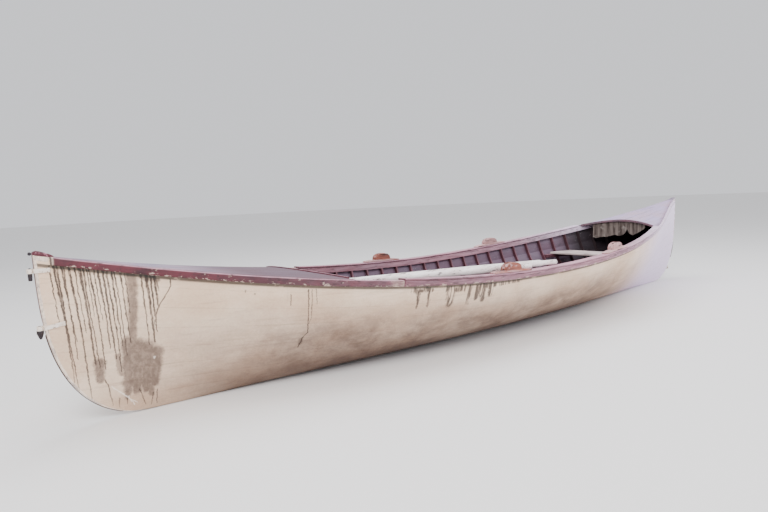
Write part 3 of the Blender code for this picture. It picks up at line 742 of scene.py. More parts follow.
# Thin runs and lines lower down and amidships
RUNS: tuple[Stroke, ...] = (
    (-2.235, 0.160, -2.225, 0.136, 0.0034, 0.9), (-2.225, 0.136, -2.218, 0.097, 0.0030, 0.9),
    (-2.218, 0.097, -2.209, 0.049, 0.0026, 0.8), (-2.186, 0.077, -2.186, 0.038, 0.0028, 0.8),
    (-2.157, 0.074, -2.157, 0.043, 0.0028, 0.8), (-2.110, 0.098, -2.096, 0.061, 0.0030, 0.8),
    (-2.096, 0.061, -2.087, 0.026, 0.0028, 0.8), (-2.057, 0.072, -2.064, 0.021, 0.0028, 0.8),
    (-2.042, 0.083, -2.043, 0.020, 0.0028, 0.8), (-1.996, 0.539, -1.993, 0.511, 0.0034, 0.9),
    (-1.993, 0.511, -2.015, 0.471, 0.0034, 0.9), (-2.015, 0.471, -2.042, 0.426, 0.0034, 0.9),
    (-2.042, 0.426, -2.055, 0.361, 0.0034, 0.9), (-2.055, 0.361, -2.054, 0.315, 0.0032, 0.8),
    (-2.043, 0.540, -2.034, 0.495, 0.0030, 0.8), (-1.545, 0.430, -1.541, 0.381, 0.0030, 0.8),
    (-1.475, 0.442, -1.462, 0.311, 0.0036, 0.9), (-1.462, 0.311, -1.452, 0.247, 0.0034, 0.9),
    (-1.452, 0.247, -1.470, 0.224, 0.0036, 0.9), (-1.470, 0.224, -1.479, 0.177, 0.0044, 0.9),
    (-1.460, 0.440, -1.449, 0.309, 0.0028, 0.7), (-1.449, 0.309, -1.456, 0.283, 0.0026, 0.6),
    (-1.444, 0.443, -1.434, 0.375, 0.0028, 0.7), (-1.724, 0.463, -1.724, 0.458, 0.0050, 0.7),
    (-1.687, 0.448, -1.687, 0.444, 0.0050, 0.7), (-0.957, 0.374, -0.951, 0.295, 0.0040, 0.8),
    (-0.951, 0.300, -0.951, 0.292, 0.0075, 0.8), (-0.897, 0.367, -0.890, 0.290, 0.0044, 0.8),
)
# Broad soaked patches
PATCHES: tuple[Stroke, ...] = (
    (-2.1250, 0.570, -2.1310, 0.270, 0.0250, 0.95), (-2.148, 0.300, -2.154, 0.105, 0.0320, 1.0),
    (-2.116, 0.285, -2.120, 0.098, 0.0350, 1.0), (-2.082, 0.275, -2.084, 0.098, 0.0350, 1.0),
    (-2.050, 0.250, -2.052, 0.115, 0.0330, 1.0), (-2.252, 0.232, -2.250, 0.166, 0.0270, 1.0),
    (-2.150, 0.135, -2.052, 0.130, 0.0300, 1.0), (-2.148, 0.205, -2.050, 0.205, 0.0340, 1.0),
    (-2.150, 0.100, -2.158, 0.070, 0.0160, 0.85), (-2.070, 0.100, -2.062, 0.065, 0.0180, 0.85),
    (-2.085, 0.560, -2.040, 0.540, 0.0200, 0.95), (-2.186, 0.250, -2.176, 0.170, 0.0150, 0.75),
    (-1.475, 0.212, -1.475, 0.196, 0.0150, 0.75),
)
# Ragged clumps of short runs under the rail amidships
CLUMPS: tuple[Stroke, ...] = (
    (-0.985, 0.384, -0.940, 0.374, 0.0170, 1.0), (-0.919, 0.380, -0.884, 0.372, 0.0180, 1.0),
    (-0.957, 0.370, -0.951, 0.310, 0.0120, 0.9), (-0.897, 0.366, -0.890, 0.300, 0.0130, 0.9),
    (-0.800, 0.368, -0.735, 0.358, 0.0220, 1.0), (-0.772, 0.358, -0.764, 0.290, 0.0340, 1.0),
    (-0.720, 0.362, -0.480, 0.350, 0.0210, 1.0), (-0.655, 0.352, -0.640, 0.285, 0.0320, 1.0),
    (-0.606, 0.350, -0.600, 0.300, 0.0260, 1.0), (-0.572, 0.350, -0.552, 0.285, 0.0300, 1.0),
    (-0.518, 0.350, -0.508, 0.300, 0.0240, 1.0), (-0.450, 0.352, -0.300, 0.350, 0.0130, 0.8),
)
SCRATCHES: tuple[Stroke, ...] = (
    (-2.213, 0.129, -2.120, 0.042, 0.0028, 0.8), (-2.151, 0.075, -2.129, 0.035, 0.0028, 0.8),
    (-2.056, 0.226, -2.056, 0.222, 0.0060, 0.7),
)


def drip_strokes() -> list[Stroke]:
    """The drips down the quarter as strokes, each kinked once on its way."""
    made = []
    for i, (lead, low, half) in enumerate(DRIPS):
        top = 0.622 - (lead + 2.355) * 0.203
        kink = top + (low - top) * (0.45 + 0.16 * math.sin(7.0 * i))
        sway = 0.0045 * math.sin(3.1 * i + 1.0)
        start = (lead + DRIP_SLANT * (0.6 - top), top)
        bend = (lead + DRIP_SLANT * (0.6 - kink) + sway, kink)
        finish = (lead + DRIP_SLANT * (0.6 - low), low)
        made.append((*start, *bend, half, 1.0))
        made.append((*bend, *finish, half * 0.7, 0.95))
    return made


# Finishes

@dataclass(frozen=True)
class HullCanvas:
    """Cream paint on canvas over the planking: chalky, soaked and stained, with painted shade low
    down and a painted shadow under the outwale.
    """

    cream: Colour = tint(250, 224, 200)
    tan: Colour = tint(228, 196, 168)
    grime: Colour = tint(118, 92, 76)
    # Painted shade, with some grime, for the turn of the bilge and below
    bilge: Colour = tint(70, 46, 40)
    drip: Colour = tint(42, 26, 22)
    soaked: Colour = tint(84, 66, 58)
    chalk: Colour = tint(250, 240, 232)
    cool: Colour = tint(236, 222, 252)
    # Painted shadow under the outwale
    gap: Colour = tint(46, 42, 36)
    flank: float = 0.02

    def material(self) -> Material:
        """Build the finish."""
        r = Recipe("hull_canvas_weathered")
        drop = r.drop()
        share = r.z / (drop + r.z)
        large = r.noise(2.2, (1, 1, 2.0), 5, 0.6)
        middle = r.noise(14, (1, 1, 1.6), 5, 0.62)
        fine = r.noise(120, (1, 1, 1), 3, 0.6)
        long_streaks = r.noise(9, (0.25, 1, 6), 5, 0.6)
        r.colour = r.mix(r.step(large, 0.35, 0.68), self.cream, self.tan)
        r.coat(r.step(middle, 0.45, 0.75) * 0.35, self.tan)
        r.coat(r.step(long_streaks, 0.52, 0.75) * 0.25, self.grime)
        forward = r.step(r.x, 0.8, 1.9)
        r.coat(forward * 0.92, self.cool)
        # Plank edges that show through the canvas
        above = r.math("MAXIMUM", 1 - share, 0.0)
        angle = r.math("ARCCOSINE", above ** (0.5 * FORM.section_power))
        plank = r.math("PINGPONG", angle * (20 / math.pi), 0.5)
        seam = r.step(plank, 0.045, 0.0) * r.step(middle, 0.3, 0.6)
        r.coat(seam * 0.22, self.grime)
        # Painted shade, with some grime: darker on the turn of the bilge and below, most amidships
        smoke = r.step(r.noise(5.5, (1, 1, 1.6), 7, 0.7, 0.2), 0.3, 0.7)
        middle_part = r.step(abs(r.x + 0.42), 2.0, 0.9)
        below = r.step(share, 1.0, 0.4) * (0.52 + smoke * 0.36)
        below = below * (0.2 + middle_part * 0.74)
        r.coat(below, self.bilge)
        low = r.step(share, 0.46, 0.06) * (0.06 + middle_part * 0.62)
        r.coat(low, self.bilge)
        # Chalky upright streaks towards the bow
        chalk = r.noise(38, (1, 1, 0.1), 4, 0.6)
        chalk = r.step(chalk, 0.58, 0.72) * r.step(r.x, 0.3, 1.4) * r.step(share, 0.2, 0.9)
        r.coat(chalk * 0.55, self.chalk)
        # General runs from the rail, on both sides
        streak = r.noise(58, (1, 0.2, 0.045), 3, 0.6)
        ragged = r.noise(30, (1, 0.2, 0.4), 3, 0.6)
        reach = r.step(drop, 0.3, 0.04) * r.step(ragged, 0.42, 0.6)
        runs = r.step(streak, 0.64, 0.7) * reach
        port = r.step(r.y, -0.01, self.flank)
        ends = r.step(abs(r.x), 1.2, 2.2)
        runs = runs * r.most(port * (0.25 + ends * 0.6), 0.1)
        r.coat(runs, self.drip)
        # The drips and soaked patches of the starboard side
        wobble = (r.noise(34, (1, 1, 1), 3, 0.6) - 0.5) * 0.02
        fret = (r.noise(150, (1, 1, 1), 2, 0.6) - 0.5) * 0.01
        place = r.joined(r.x + (wobble * 0.6 + fret * 0.5), r.z + fret)
        loose = wobble + fret
        soak_place = r.joined(r.x + loose, r.z + loose)
        tool = StrokeTool()
        starboard = r.step(r.y, 0.0, -self.flank)
        soaked = tool.draw(r, soak_place, PATCHES) * starboard
        damp = r.step(r.noise(48, (1, 1, 0.7), 5, 0.7), 0.32, 0.62)
        soaked = soaked * (0.78 + damp * 0.22)
        clumps = tool.draw(r, soak_place, CLUMPS) * starboard * r.step(streak, 0.41, 0.51)
        drips = tool.draw(r, place, drip_strokes() + list(RUNS)) * starboard
        broken = r.step(r.noise(90, (1, 1, 0.5), 3, 0.6), 0.3, 0.52)
        drips = drips * (0.65 + broken * 0.35)
        scratch = tool.draw(r, place, SCRATCHES) * starboard
        r.coat(soaked * 0.86, self.soaked)
        r.coat(clumps * 0.85, self.drip)
        r.coat(drips * 0.92, self.drip)
        r.coat(scratch * 0.75, self.chalk)
        # Painted shadow: a dark band on the canvas under the outwale's lower edge
        joint = r.step(drop, 0.0245, 0.0265) * r.step(drop, 0.042, 0.034)
        joint = joint * r.step(middle, 0.2, 0.42)
        r.coat(joint * 0.85, self.gap)
        # Fly specks and pinholes
        specks = r.step(r.cells(95), 0.1, 0.04)
        specks = specks * r.step(middle, 0.5, 0.7)
        r.coat(specks * 0.5, self.grime)
        r.coat(0.26, r.mix(fine, tint(120, 104, 92), tint(255, 246, 236)), "OVERLAY")
        weave = r.noise(900, (1, 1, 1), 2, 0.5)
        crackle = r.step(r.cells(60, (1, 1, 1.6), edge=True), 0.0, 0.05)
        relief = weave * 0.25 + crackle * 0.35
        relief = relief - (seam + drips) * 0.5
        normal = r.bump(relief, 0.0006, r.bump(middle, 0.002))
        rough = 0.55 + middle * 0.25
        return r.done(rough, normal)


@dataclass(frozen=True)
class StemPaint:
    """Cream paint on the stem's bare timber, grey where it has worn through."""

    name: str
    cream: Colour
    worn: Colour
    # How strongly the strip along the face shows dark
    line: float
    dark: Colour = tint(70, 50, 50)
    maroon: Colour = tint(92, 52, 58)

    def material(self) -> Material:
        """Build the finish."""
        r = Recipe(self.name)
        patch = r.noise(40, (1, 1, 1), 5, 0.65)
        grain = r.noise(60, (3, 3, 0.25), 4, 0.6)
        crack = r.step(r.cells(85, (1.6, 1.6, 0.35), edge=True), 0.0, 0.045)
        r.colour = r.mix(r.step(patch, 0.42, 0.6), self.cream, self.worn)
        r.coat((1 - crack) * r.step(patch, 0.35, 0.6) * 0.8, self.dark)
        r.coat(r.step(grain, 0.55, 0.75) * 0.35, self.dark)
        edge = r.step(abs(r.y), 0.0105, 0.0085) * r.step(r.z, 0.4, 0.44) * self.line
        r.coat(edge, self.maroon)
        normal = r.bump(crack * 0.5 + grain * 0.4, 0.0008)
        return r.done(0.55 + patch * 0.25, normal)


@dataclass(frozen=True)
class RailPaint:
    """Old maroon paint on the rails: pink where the sun's bleaching shows, with a painted highlight
    on the upper faces.
    """

    name: str
    # How far the paint has flaked off the lower edge, and how strong its bleaching is, which also
    # sets the painted highlight on its upper faces
    flaked: float
    bleach_and_highlight: float
    maroon: Colour = tint(92, 34, 46)
    deep: Colour = tint(56, 22, 32)
    pink: Colour = tint(206, 158, 174)
    lavender: Colour = tint(222, 204, 226)
    bare: Colour = tint(210, 188, 172)
    dark: Colour = tint(40, 26, 28)

    def material(self) -> Material:
        """Build the finish."""
        r = Recipe(self.name)
        drop = r.drop()
        patch = r.noise(11, (0.5, 1, 1), 5, 0.65)
        grain = r.noise(70, (0.08, 1, 1), 5, 0.62)
        chip = r.noise(70, (0.4, 1, 1), 4, 0.65)
        r.colour = r.mix(r.step(patch, 0.38, 0.66), self.maroon, self.deep)
        fade = r.step(r.x, -2.1, 0.4) * self.bleach_and_highlight
        faded_and_highlight_tint = r.mix(r.step(r.x, 0.4, 1.9), self.pink, self.lavender)
        r.coat(fade * (0.3 + r.step(grain, 0.35, 0.7) * 0.45), faded_and_highlight_tint)
        # Painted highlight on the upper face, over some sun bleaching, and the bow end that is pale
        # all over
        top = r.step(r.up, 0.3, 0.8) * (0.4 + r.step(grain, 0.3, 0.7) * 0.45)
        r.coat(top * (0.45 + self.bleach_and_highlight * 0.55), faded_and_highlight_tint)
        r.coat(r.step(r.x, 0.9, 1.7) * self.bleach_and_highlight * 0.85, self.lavender)
        # Small flakes off the lower edge, and scratches down to the wood
        lower = r.step(drop, 0.013, 0.022) * self.flaked
        flake = lower * r.step(chip, 0.555, 0.585)
        r.coat(flake * 0.85, self.bare)
        scar = r.step(chip + grain * 0.4, 0.84, 0.88) * self.flaked * (1 - flake)
        r.coat(scar * 0.7, self.bare)
        crack = r.step(r.noise(150, (0.05, 1, 1), 3, 0.6), 0.6, 0.65) * 0.7
        r.coat(crack, self.dark)
        # Bare wood by the joint, and where the rail meets the stern stem
        butt = r.step(r.x, -1.13, -1.08) * r.step(r.x, -1.048, -1.052) * 0.6
        r.coat(butt * r.step(grain, 0.3, 0.55) * 0.75, self.bare)
        heel = r.step(r.x, -2.376, -2.384) * r.step(patch, 0.3, 0.5) * self.flaked
        r.coat(heel * 0.75, self.bare)
        r.coat(r.step(r.x, -2.384, -2.3865) * 0.8, self.dark)
        relief = grain * 0.5 - r.most(flake, scar, crack) * 0.6
        rough = 0.42 + grain * 0.35
        return r.done(rough, r.bump(relief, 0.001))


@dataclass(frozen=True)
class CapMaroon:
    """Maroon paint flaking off the end grain of a stem's head."""

    maroon: Colour = tint(86, 34, 46)
    pink: Colour = tint(178, 120, 136)
    dark: Colour = tint(36, 22, 28)
    grey: Colour = tint(150, 140, 158)

    def material(self) -> Material:
        """Build the finish."""
        r = Recipe("cap_maroon_flaking")
        patch = r.noise(75, (1, 1, 1), 5, 0.68)
        grain = r.noise(160, (0.3, 1, 1), 4, 0.6)
        r.colour = r.mix(r.step(patch, 0.53, 0.6), self.maroon, self.pink)
        r.coat(r.step(r.x, -1.0, 1.0) * 0.85, self.grey)
        r.coat(r.step(grain, 0.55, 0.68) * 0.8, self.dark)
        relief = r.step(patch, 0.56, 0.5) + grain
        return r.done(0.7, r.bump(relief, 0.0012))


@dataclass(frozen=True)
class DeckPaint:
    """Grey-lavender paint on the canvas decks, crazed and scuffed."""

    stern: Colour = tint(122, 114, 138)
    bow: Colour = tint(184, 168, 204)
    pink: Colour = tint(196, 168, 180)
    grime: Colour = tint(98, 88, 104)
    edge: Colour = tint(112, 58, 68)
    old: Colour = tint(80, 42, 56)

    def material(self) -> Material:
        """Build the finish."""
        r = Recipe("deck_paint_crazed")
        drop = r.drop()
        large = r.noise(6, (0.6, 1, 1), 5, 0.6)
        streak = r.noise(34, (0.1, 1, 1), 5, 0.6)
        fine = r.noise(130, (1, 1, 1), 3, 0.6)
        craze = r.step(r.cells(46, (0.8, 1, 1), edge=True), 0.0, 0.035)
        r.colour = r.mix(r.step(r.x, -0.5, 0.5), self.stern, self.bow)
        r.coat(r.step(large, 0.42, 0.68) * 0.55, self.pink)
        r.coat(r.step(streak, 0.5, 0.74) * 0.45, self.grime)
        r.coat((1 - craze) * r.step(large, 0.35, 0.62) * 0.45, self.grime)
        # Older maroon paint shows through towards the stern coaming
        shown = r.step(r.x, -2.05, -1.65) * r.step(r.x, 0.0, -0.5) * (0.55 + large * 0.6)
        r.coat(shown, self.old)
        side = r.step(drop, -0.01, -0.004) * r.step(fine, 0.35, 0.55)
        r.coat(side * 0.6, self.edge)
        r.coat(0.14, r.mix(fine, tint(96, 88, 96), tint(255, 250, 255)), "OVERLAY")
        relief = craze * 0.5 + fine * 0.3
        normal = r.bump(relief, 0.0006, r.bump(large, 0.003))
        return r.done(0.36 + streak * 0.3, normal)


@dataclass(frozen=True)
class InnerPaint:
    """Dull purple-maroon paint inside the hull, dusty and speckled white, with painted top light on
    faces that look up and painted shade low down and under the decks.
    """

    name: str
    base: Colour
    dusty: Colour
    lit: Colour
    dark: Colour = tint(26, 18, 22)
    speck: Colour = tint(226, 214, 216)
    specks: float = 0.7

    def material(self) -> Material:
        """Build the finish."""
        r = Recipe(self.name)
        share = r.z / (r.drop() + r.z)
        large = r.noise(7, (0.5, 1, 1.4), 5, 0.62)
        grain = r.noise(60, (0.1, 1, 1.4), 5, 0.6)
        # Faces that look up are lighter, partly dusty and partly painted top light
        dust_and_top_light = r.step(r.up, 0.05, 0.75)
        r.colour = r.mix(r.step(large, 0.36, 0.66), self.base, self.dusty)
        r.coat(r.step(grain, 0.5, 0.75) * 0.5, self.dark)
        r.coat(dust_and_top_light * (0.2 + large * 0.45), self.lit)
        # Painted shade: darker low down, and near black in the room under the decks
        r.coat(r.step(share, 0.68, 0.3) * 0.82, self.dark)
        under = r.step(abs(r.x), 1.22, 1.5)
        r.coat(under * 0.88, self.dark)
        flecks = r.step(r.cells(75, (1, 1, 1)), 0.13, 0.07) * r.step(grain, 0.48, 0.6) * self.specks
        r.coat(flecks, self.speck)
        relief = grain * 0.6 + flecks * 0.4
        rough = 0.5 + large * 0.3
        return r.done(rough, r.bump(relief, 0.0008))


@dataclass(frozen=True)
class SeatPaint:
    """Cream paint on the bow seat's boards, rubbed grey along the grain."""

    cream: Colour = tint(206, 190, 186)
    rubbed: Colour = tint(146, 130, 130)
    dark: Colour = tint(96, 76, 74)

    def material(self) -> Material:
        """Build the finish."""
        r = Recipe("seat_paint_rubbed")
        patch = r.noise(16, (1, 0.5, 1), 5, 0.62)
        grain = r.noise(90, (1, 0.06, 1), 5, 0.6)
        r.colour = r.mix(r.step(patch, 0.42, 0.68), self.cream, self.rubbed)
        r.coat(r.step(grain, 0.52, 0.72) * 0.5, self.dark)
        return r.done(0.5 + patch * 0.25, r.bump(grain, 0.0008))


@dataclass(frozen=True)
class BareWood:
    """Bare orange-brown timber, silvered on top and split along the grain."""

    orange: Colour = tint(158, 92, 76)
    brown: Colour = tint(98, 56, 50)
    silver: Colour = tint(206, 170, 172)
    dark: Colour = tint(46, 30, 30)

    def material(self) -> Material:
        """Build the finish."""
        r = Recipe("block_wood_split")
        patch = r.noise(26, (0.6, 1, 1), 5, 0.65)
        grain = r.noise(120, (0.07, 1, 1), 5, 0.65, 0.4)
        split = r.step(r.noise(60, (0.06, 1, 1), 3, 0.6), 0.6, 0.64)
        r.colour = r.mix(r.step(grain, 0.35, 0.68), self.orange, self.brown)
        top = r.step(r.up, 0.2, 0.9) * r.step(patch, 0.46, 0.7) * 0.5
        r.coat(top, self.silver)
        # Old paint that still clings to the base, and the paler forward blocks
        base = r.step(r.drop(), -0.027, -0.021) * r.step(grain, 0.36, 0.56) * 0.72
        r.coat(base, self.silver)
        r.coat(r.step(r.x, 0.2, 0.6) * (0.25 + patch * 0.6), self.silver)
        flake = r.step(patch, 0.58, 0.62) * 0.55
        r.coat(flake, self.silver)
        r.coat(split * 0.85, self.dark)
        relief = grain - split * 1.2
        return r.done(0.82, r.bump(relief, 0.0016))


@dataclass(frozen=True)
class OarPaint:
    """White paint on the oars, yellowed, with fine dark checks along them."""

    white: Colour = tint(244, 238, 236)
    worn: Colour = tint(214, 196, 194)
    wood: Colour = tint(150, 116, 104)
    dark: Colour = tint(66, 50, 52)

    def material(self) -> Material:
        """Build the finish."""
        r = Recipe("oar_paint_checked")
        patch = r.noise(14, (0.35, 1, 1), 5, 0.65)
        grain = r.noise(150, (0.035, 1, 1), 4, 0.6)
        check = r.step(r.noise(110, (0.03, 1, 1), 3, 0.6), 0.6, 0.64) * r.step(patch, 0.38, 0.55)
        r.colour = r.mix(r.step(patch, 0.4, 0.7), self.white, self.worn)
        r.coat(r.step(patch, 0.66, 0.72) * 0.7, self.wood)
        r.coat(r.step(grain, 0.55, 0.75) * 0.3, self.wood)
        r.coat(check * 0.85, self.dark)
        relief = grain * 0.5 - check * 0.9
        return r.done(0.42 + patch * 0.3, r.bump(relief, 0.0007))


@dataclass(frozen=True)
class Metal:
    """Weathered metal: a dull skin with rust or dirt in patches."""

    name: str
    clean: Colour
    dirty: Colour
    metal: float
    rough: float = 0.5

    def material(self) -> Material:
        """Build the finish."""
        r = Recipe(self.name)
        patch = r.noise(110, (1, 1, 1), 5, 0.7)
        pits = r.noise(420, (1, 1, 1), 3, 0.6)
        cover = r.step(patch, 0.4, 0.6)
        r.colour = r.mix(cover, self.clean, self.dirty)
        rough = self.rough + cover * 0.25
        metal = (1 - cover) * self.metal
        return r.done(rough, r.bump(pits + cover, 0.0006), metal)


@dataclass(frozen=True)
class GudgeonPaint:
    """Cream paint over the rudder straps, chipped to rust, and darker on the faces that look down.
    """

    cream: Colour = tint(222, 202, 184)
    rust: Colour = tint(112, 72, 56)
    pale: Colour = tint(236, 224, 212)

    def material(self) -> Material:
        """Build the finish."""
        r = Recipe("gudgeon_paint_chipped")
        patch = r.noise(120, (1, 1, 1), 5, 0.66)
        broad = r.noise(36, (1, 1, 1), 3, 0.6)
        chip = r.step(patch, 0.6, 0.64)
        r.colour = r.mix(r.step(broad, 0.4, 0.65), self.cream, self.pale)
        r.coat(chip * 0.85, self.rust)
        # Darker on the faces that look down
        under = r.step(r.up, -0.2, -0.8) * 0.6
        r.coat(under, self.rust)
        return r.done(0.5 + chip * 0.25, r.bump(1 - chip, 0.0005))


@dataclass(frozen=True)
class ApronCanvas:
    """Old unpainted canvas, grey-brown with upright water streaks."""

    grey: Colour = tint(126, 114, 108)
    brown: Colour = tint(70, 58, 54)
    pale: Colour = tint(160, 150, 144)
    thread: float = 0.0011

    def material(self) -> Material:
        """Build the finish."""
        r = Recipe("apron_canvas_torn")
        streak = r.noise(44, (1, 1, 0.12), 5, 0.62)
        patch = r.noise(18, (1, 1, 1), 4, 0.6)
        turns = 2 * math.pi / self.thread
        warp = r.math("SINE", r.y * turns)
        weft = r.math("SINE", r.z * turns)
        weave = warp * weft
        r.colour = r.mix(r.step(streak, 0.4, 0.66), self.grey, self.brown)
        r.coat(r.step(patch, 0.52, 0.72) * 0.7, self.pale)
        r.coat(r.step(weave, 0.2, 0.9) * 0.18, self.brown)
        return r.done(0.9, r.bump(weave * 0.4 + streak, 0.0005))


@dataclass(frozen=True)
class PaleFloor:
    """Plain pale floor."""

    pale: Colour = tint(236, 235, 234)
    dull: Colour = tint(222, 221, 220)

    def material(self) -> Material:
        """Build the finish."""
        r = Recipe("floor_pale")
        cloud = r.noise(1.2, (1, 1, 1), 3, 0.5)
        r.colour = r.mix(cloud * 0.04, self.pale, self.dull)
        return r.done(0.9)


@dataclass(frozen=True)
class Palette:
    """All finishes of the boat, built once."""

    hull: Material
    stem: Material
    bow_stem: Material
    cap: Material
    rail: Material
    rail_inner: Material
    coaming: Material
    deck: Material
    planks: Material
    ribs: Material
    seat: Material
    wood: Material
    oar: Material
    iron: Material
    band: Material
    bolt: Material
    gudgeon: Material
    apron: Material

    @classmethod
    def mixed(cls) -> "Palette":
        """Mix every finish."""
        return cls(
            hull=HullCanvas().material(),
            stem=StemPaint("stem_paint_worn", tint(240, 220, 202), tint(206, 188, 176),
                           0.85).material(),
            bow_stem=StemPaint("bow_stem_paint_worn", tint(240, 234, 246), tint(190, 164, 160),
                               0.0).material(),
            cap=CapMaroon().material(),
            rail=RailPaint("rail_paint_weathered", 1.0, 1.0).material(),
            rail_inner=RailPaint("rail_paint_bleached", 0.0, 0.9).material(),
            coaming=RailPaint("coaming_paint_dark", 0.0, 0.12).material(),
            deck=DeckPaint().material(),
            planks=InnerPaint("inner_planks_dusty", tint(88, 62, 80), tint(100, 86, 102),
                              tint(128, 110, 128)).material(),
            ribs=InnerPaint("rib_paint_dusty", tint(76, 36, 46), tint(96, 52, 64),
                            tint(176, 130, 142), specks=0.4).material(),
            seat=SeatPaint().material(),
            wood=BareWood().material(),
            oar=OarPaint().material(),
            iron=Metal("iron_dark_rusty", tint(58, 54, 60), tint(44, 30, 28), 0.7).material(),
            band=Metal("band_metal_brown", tint(84, 52, 50), tint(52, 32, 32), 0.5).material(),
            bolt=Metal("bolt_metal_tan", tint(206, 168, 132), tint(120, 82, 60), 0.5).material(),
            gudgeon=GudgeonPaint().material(),
            apron=ApronCanvas().material(),
        )


# Sub-assemblies

@dataclass(frozen=True)
class HullSkin:
    """The painted canvas outside and the planking inside it."""

    canvas_end: float = 0.9965
    canvas_stations: int = 190
    canvas_levels: int = 36
    canvas_thick: float = 0.0012
    # How deep and wide the canvas dips at a plank's edge, and its lumps
    dip_deep: float = 0.0006
    dip_wide: float = 0.16
    lump_high: float = 0.0009
    plank_end: float = 0.965
    plank_stations: int = 150
    plank_outer: float = 0.0018
    plank_inner: float = 0.0070
    groove_deep: float = 0.0011
    groove_wide: float = 0.10
    seam_levels: tuple[int, ...] = (1, 2, 3, 4, 5, 6, 7, 8, 9)
    strakes: tuple[str, ...] = ("garboard_aft", "garboard_middle", "garboard_forward",
                                "lower_bilge_aft", "lower_bilge_middle", "lower_bilge_forward",
                                "upper_bilge_aft", "upper_bilge_forward", "topside")

    def canvas_point(self, s: float, k: float) -> Vector:
        """A point of the port canvas at a level, sunk a little at the planks' edges."""
        near = abs(k - round(k))
        sink = self.dip_deep * max(0.0, 1 - near / self.dip_wide) if 0.5 < k < 9.5 else 0.0
        point = FORM.skin(s, FORM.level(k))
        lump = self.lump_high * (0.5 + 0.5 * noise.noise(Vector((point.x * 3.1, k * 0.9, 4.0))))
        return point - FORM.normal(s, FORM.level(k)) * (sink + lump * min(1.0, k))

    def canvas(self) -> Piece:
        """The canvas, from rail to rail round the flat bottom."""
        rows = []
        levels = spaced(10, 0, self.canvas_levels + 1)
        for s in fair_shares(self.canvas_end, self.canvas_stations):
            port = [self.canvas_point(s, k) for k in levels]
            seam = port[-1]
            foot = FORM.keel(s) - FORM.proud
            for share in (0.98, 0.66, 0.33):
                port.append(Vector((seam.x, seam.y * share, foot)))
            row = port + [Vector((seam.x, 0, foot))]
            row += mirrored(port)
            rows.append(row)
        piece = lay_sections("hull_canvas_cover", rows, closed=False)
        return thicken(piece, self.canvas_thick,
                       lambda face: face.normal.y * face.center.y > 0 or face.normal.z < -0.5)

    def planking(self) -> Piece:
        """The planking inside the canvas, with a groove at each plank's edge."""
        levels = [10.0]
        for seam in reversed(self.seam_levels):
            half = 0.5 * self.groove_wide
            levels += [seam + 0.5, seam + half, float(seam), seam - half]
        levels += [0.5, 0.0]
        rings = []
        for s in fair_shares(self.plank_end, self.plank_stations):
            outer, inner = [], []
            for k in levels:
                t = FORM.level(k)
                deep = self.groove_deep if k in self.seam_levels else 0.0
                outer.append(FORM.under(s, t, self.plank_outer))
                inner.append(FORM.under(s, t, self.plank_inner - deep))
            foot = FORM.keel(s) + self.plank_outer
            outer.append(Vector((outer[-1].x, 0.5 * outer[-1].y, foot)))
            inner.append(Vector((inner[-1].x, 0.5 * inner[-1].y, FORM.keel(s) + self.plank_inner)))
            half_ring = outer + mirrored(outer)
            back = inner + mirrored(inner)
            rings.append(half_ring + back[::-1])
        return lay_sections("hull_planking", rings)

    def build(self, palette: Palette) -> None:
        """Build and dress both layers."""
        nodes = [f"{strake}_{side.name.lower()}" for strake in self.strakes for side in Side]
        dress(self.canvas(), palette.hull, Slot.HULL, "bottom_board", *nodes)
        dress(self.planking(), palette.planks, Slot.INNER)


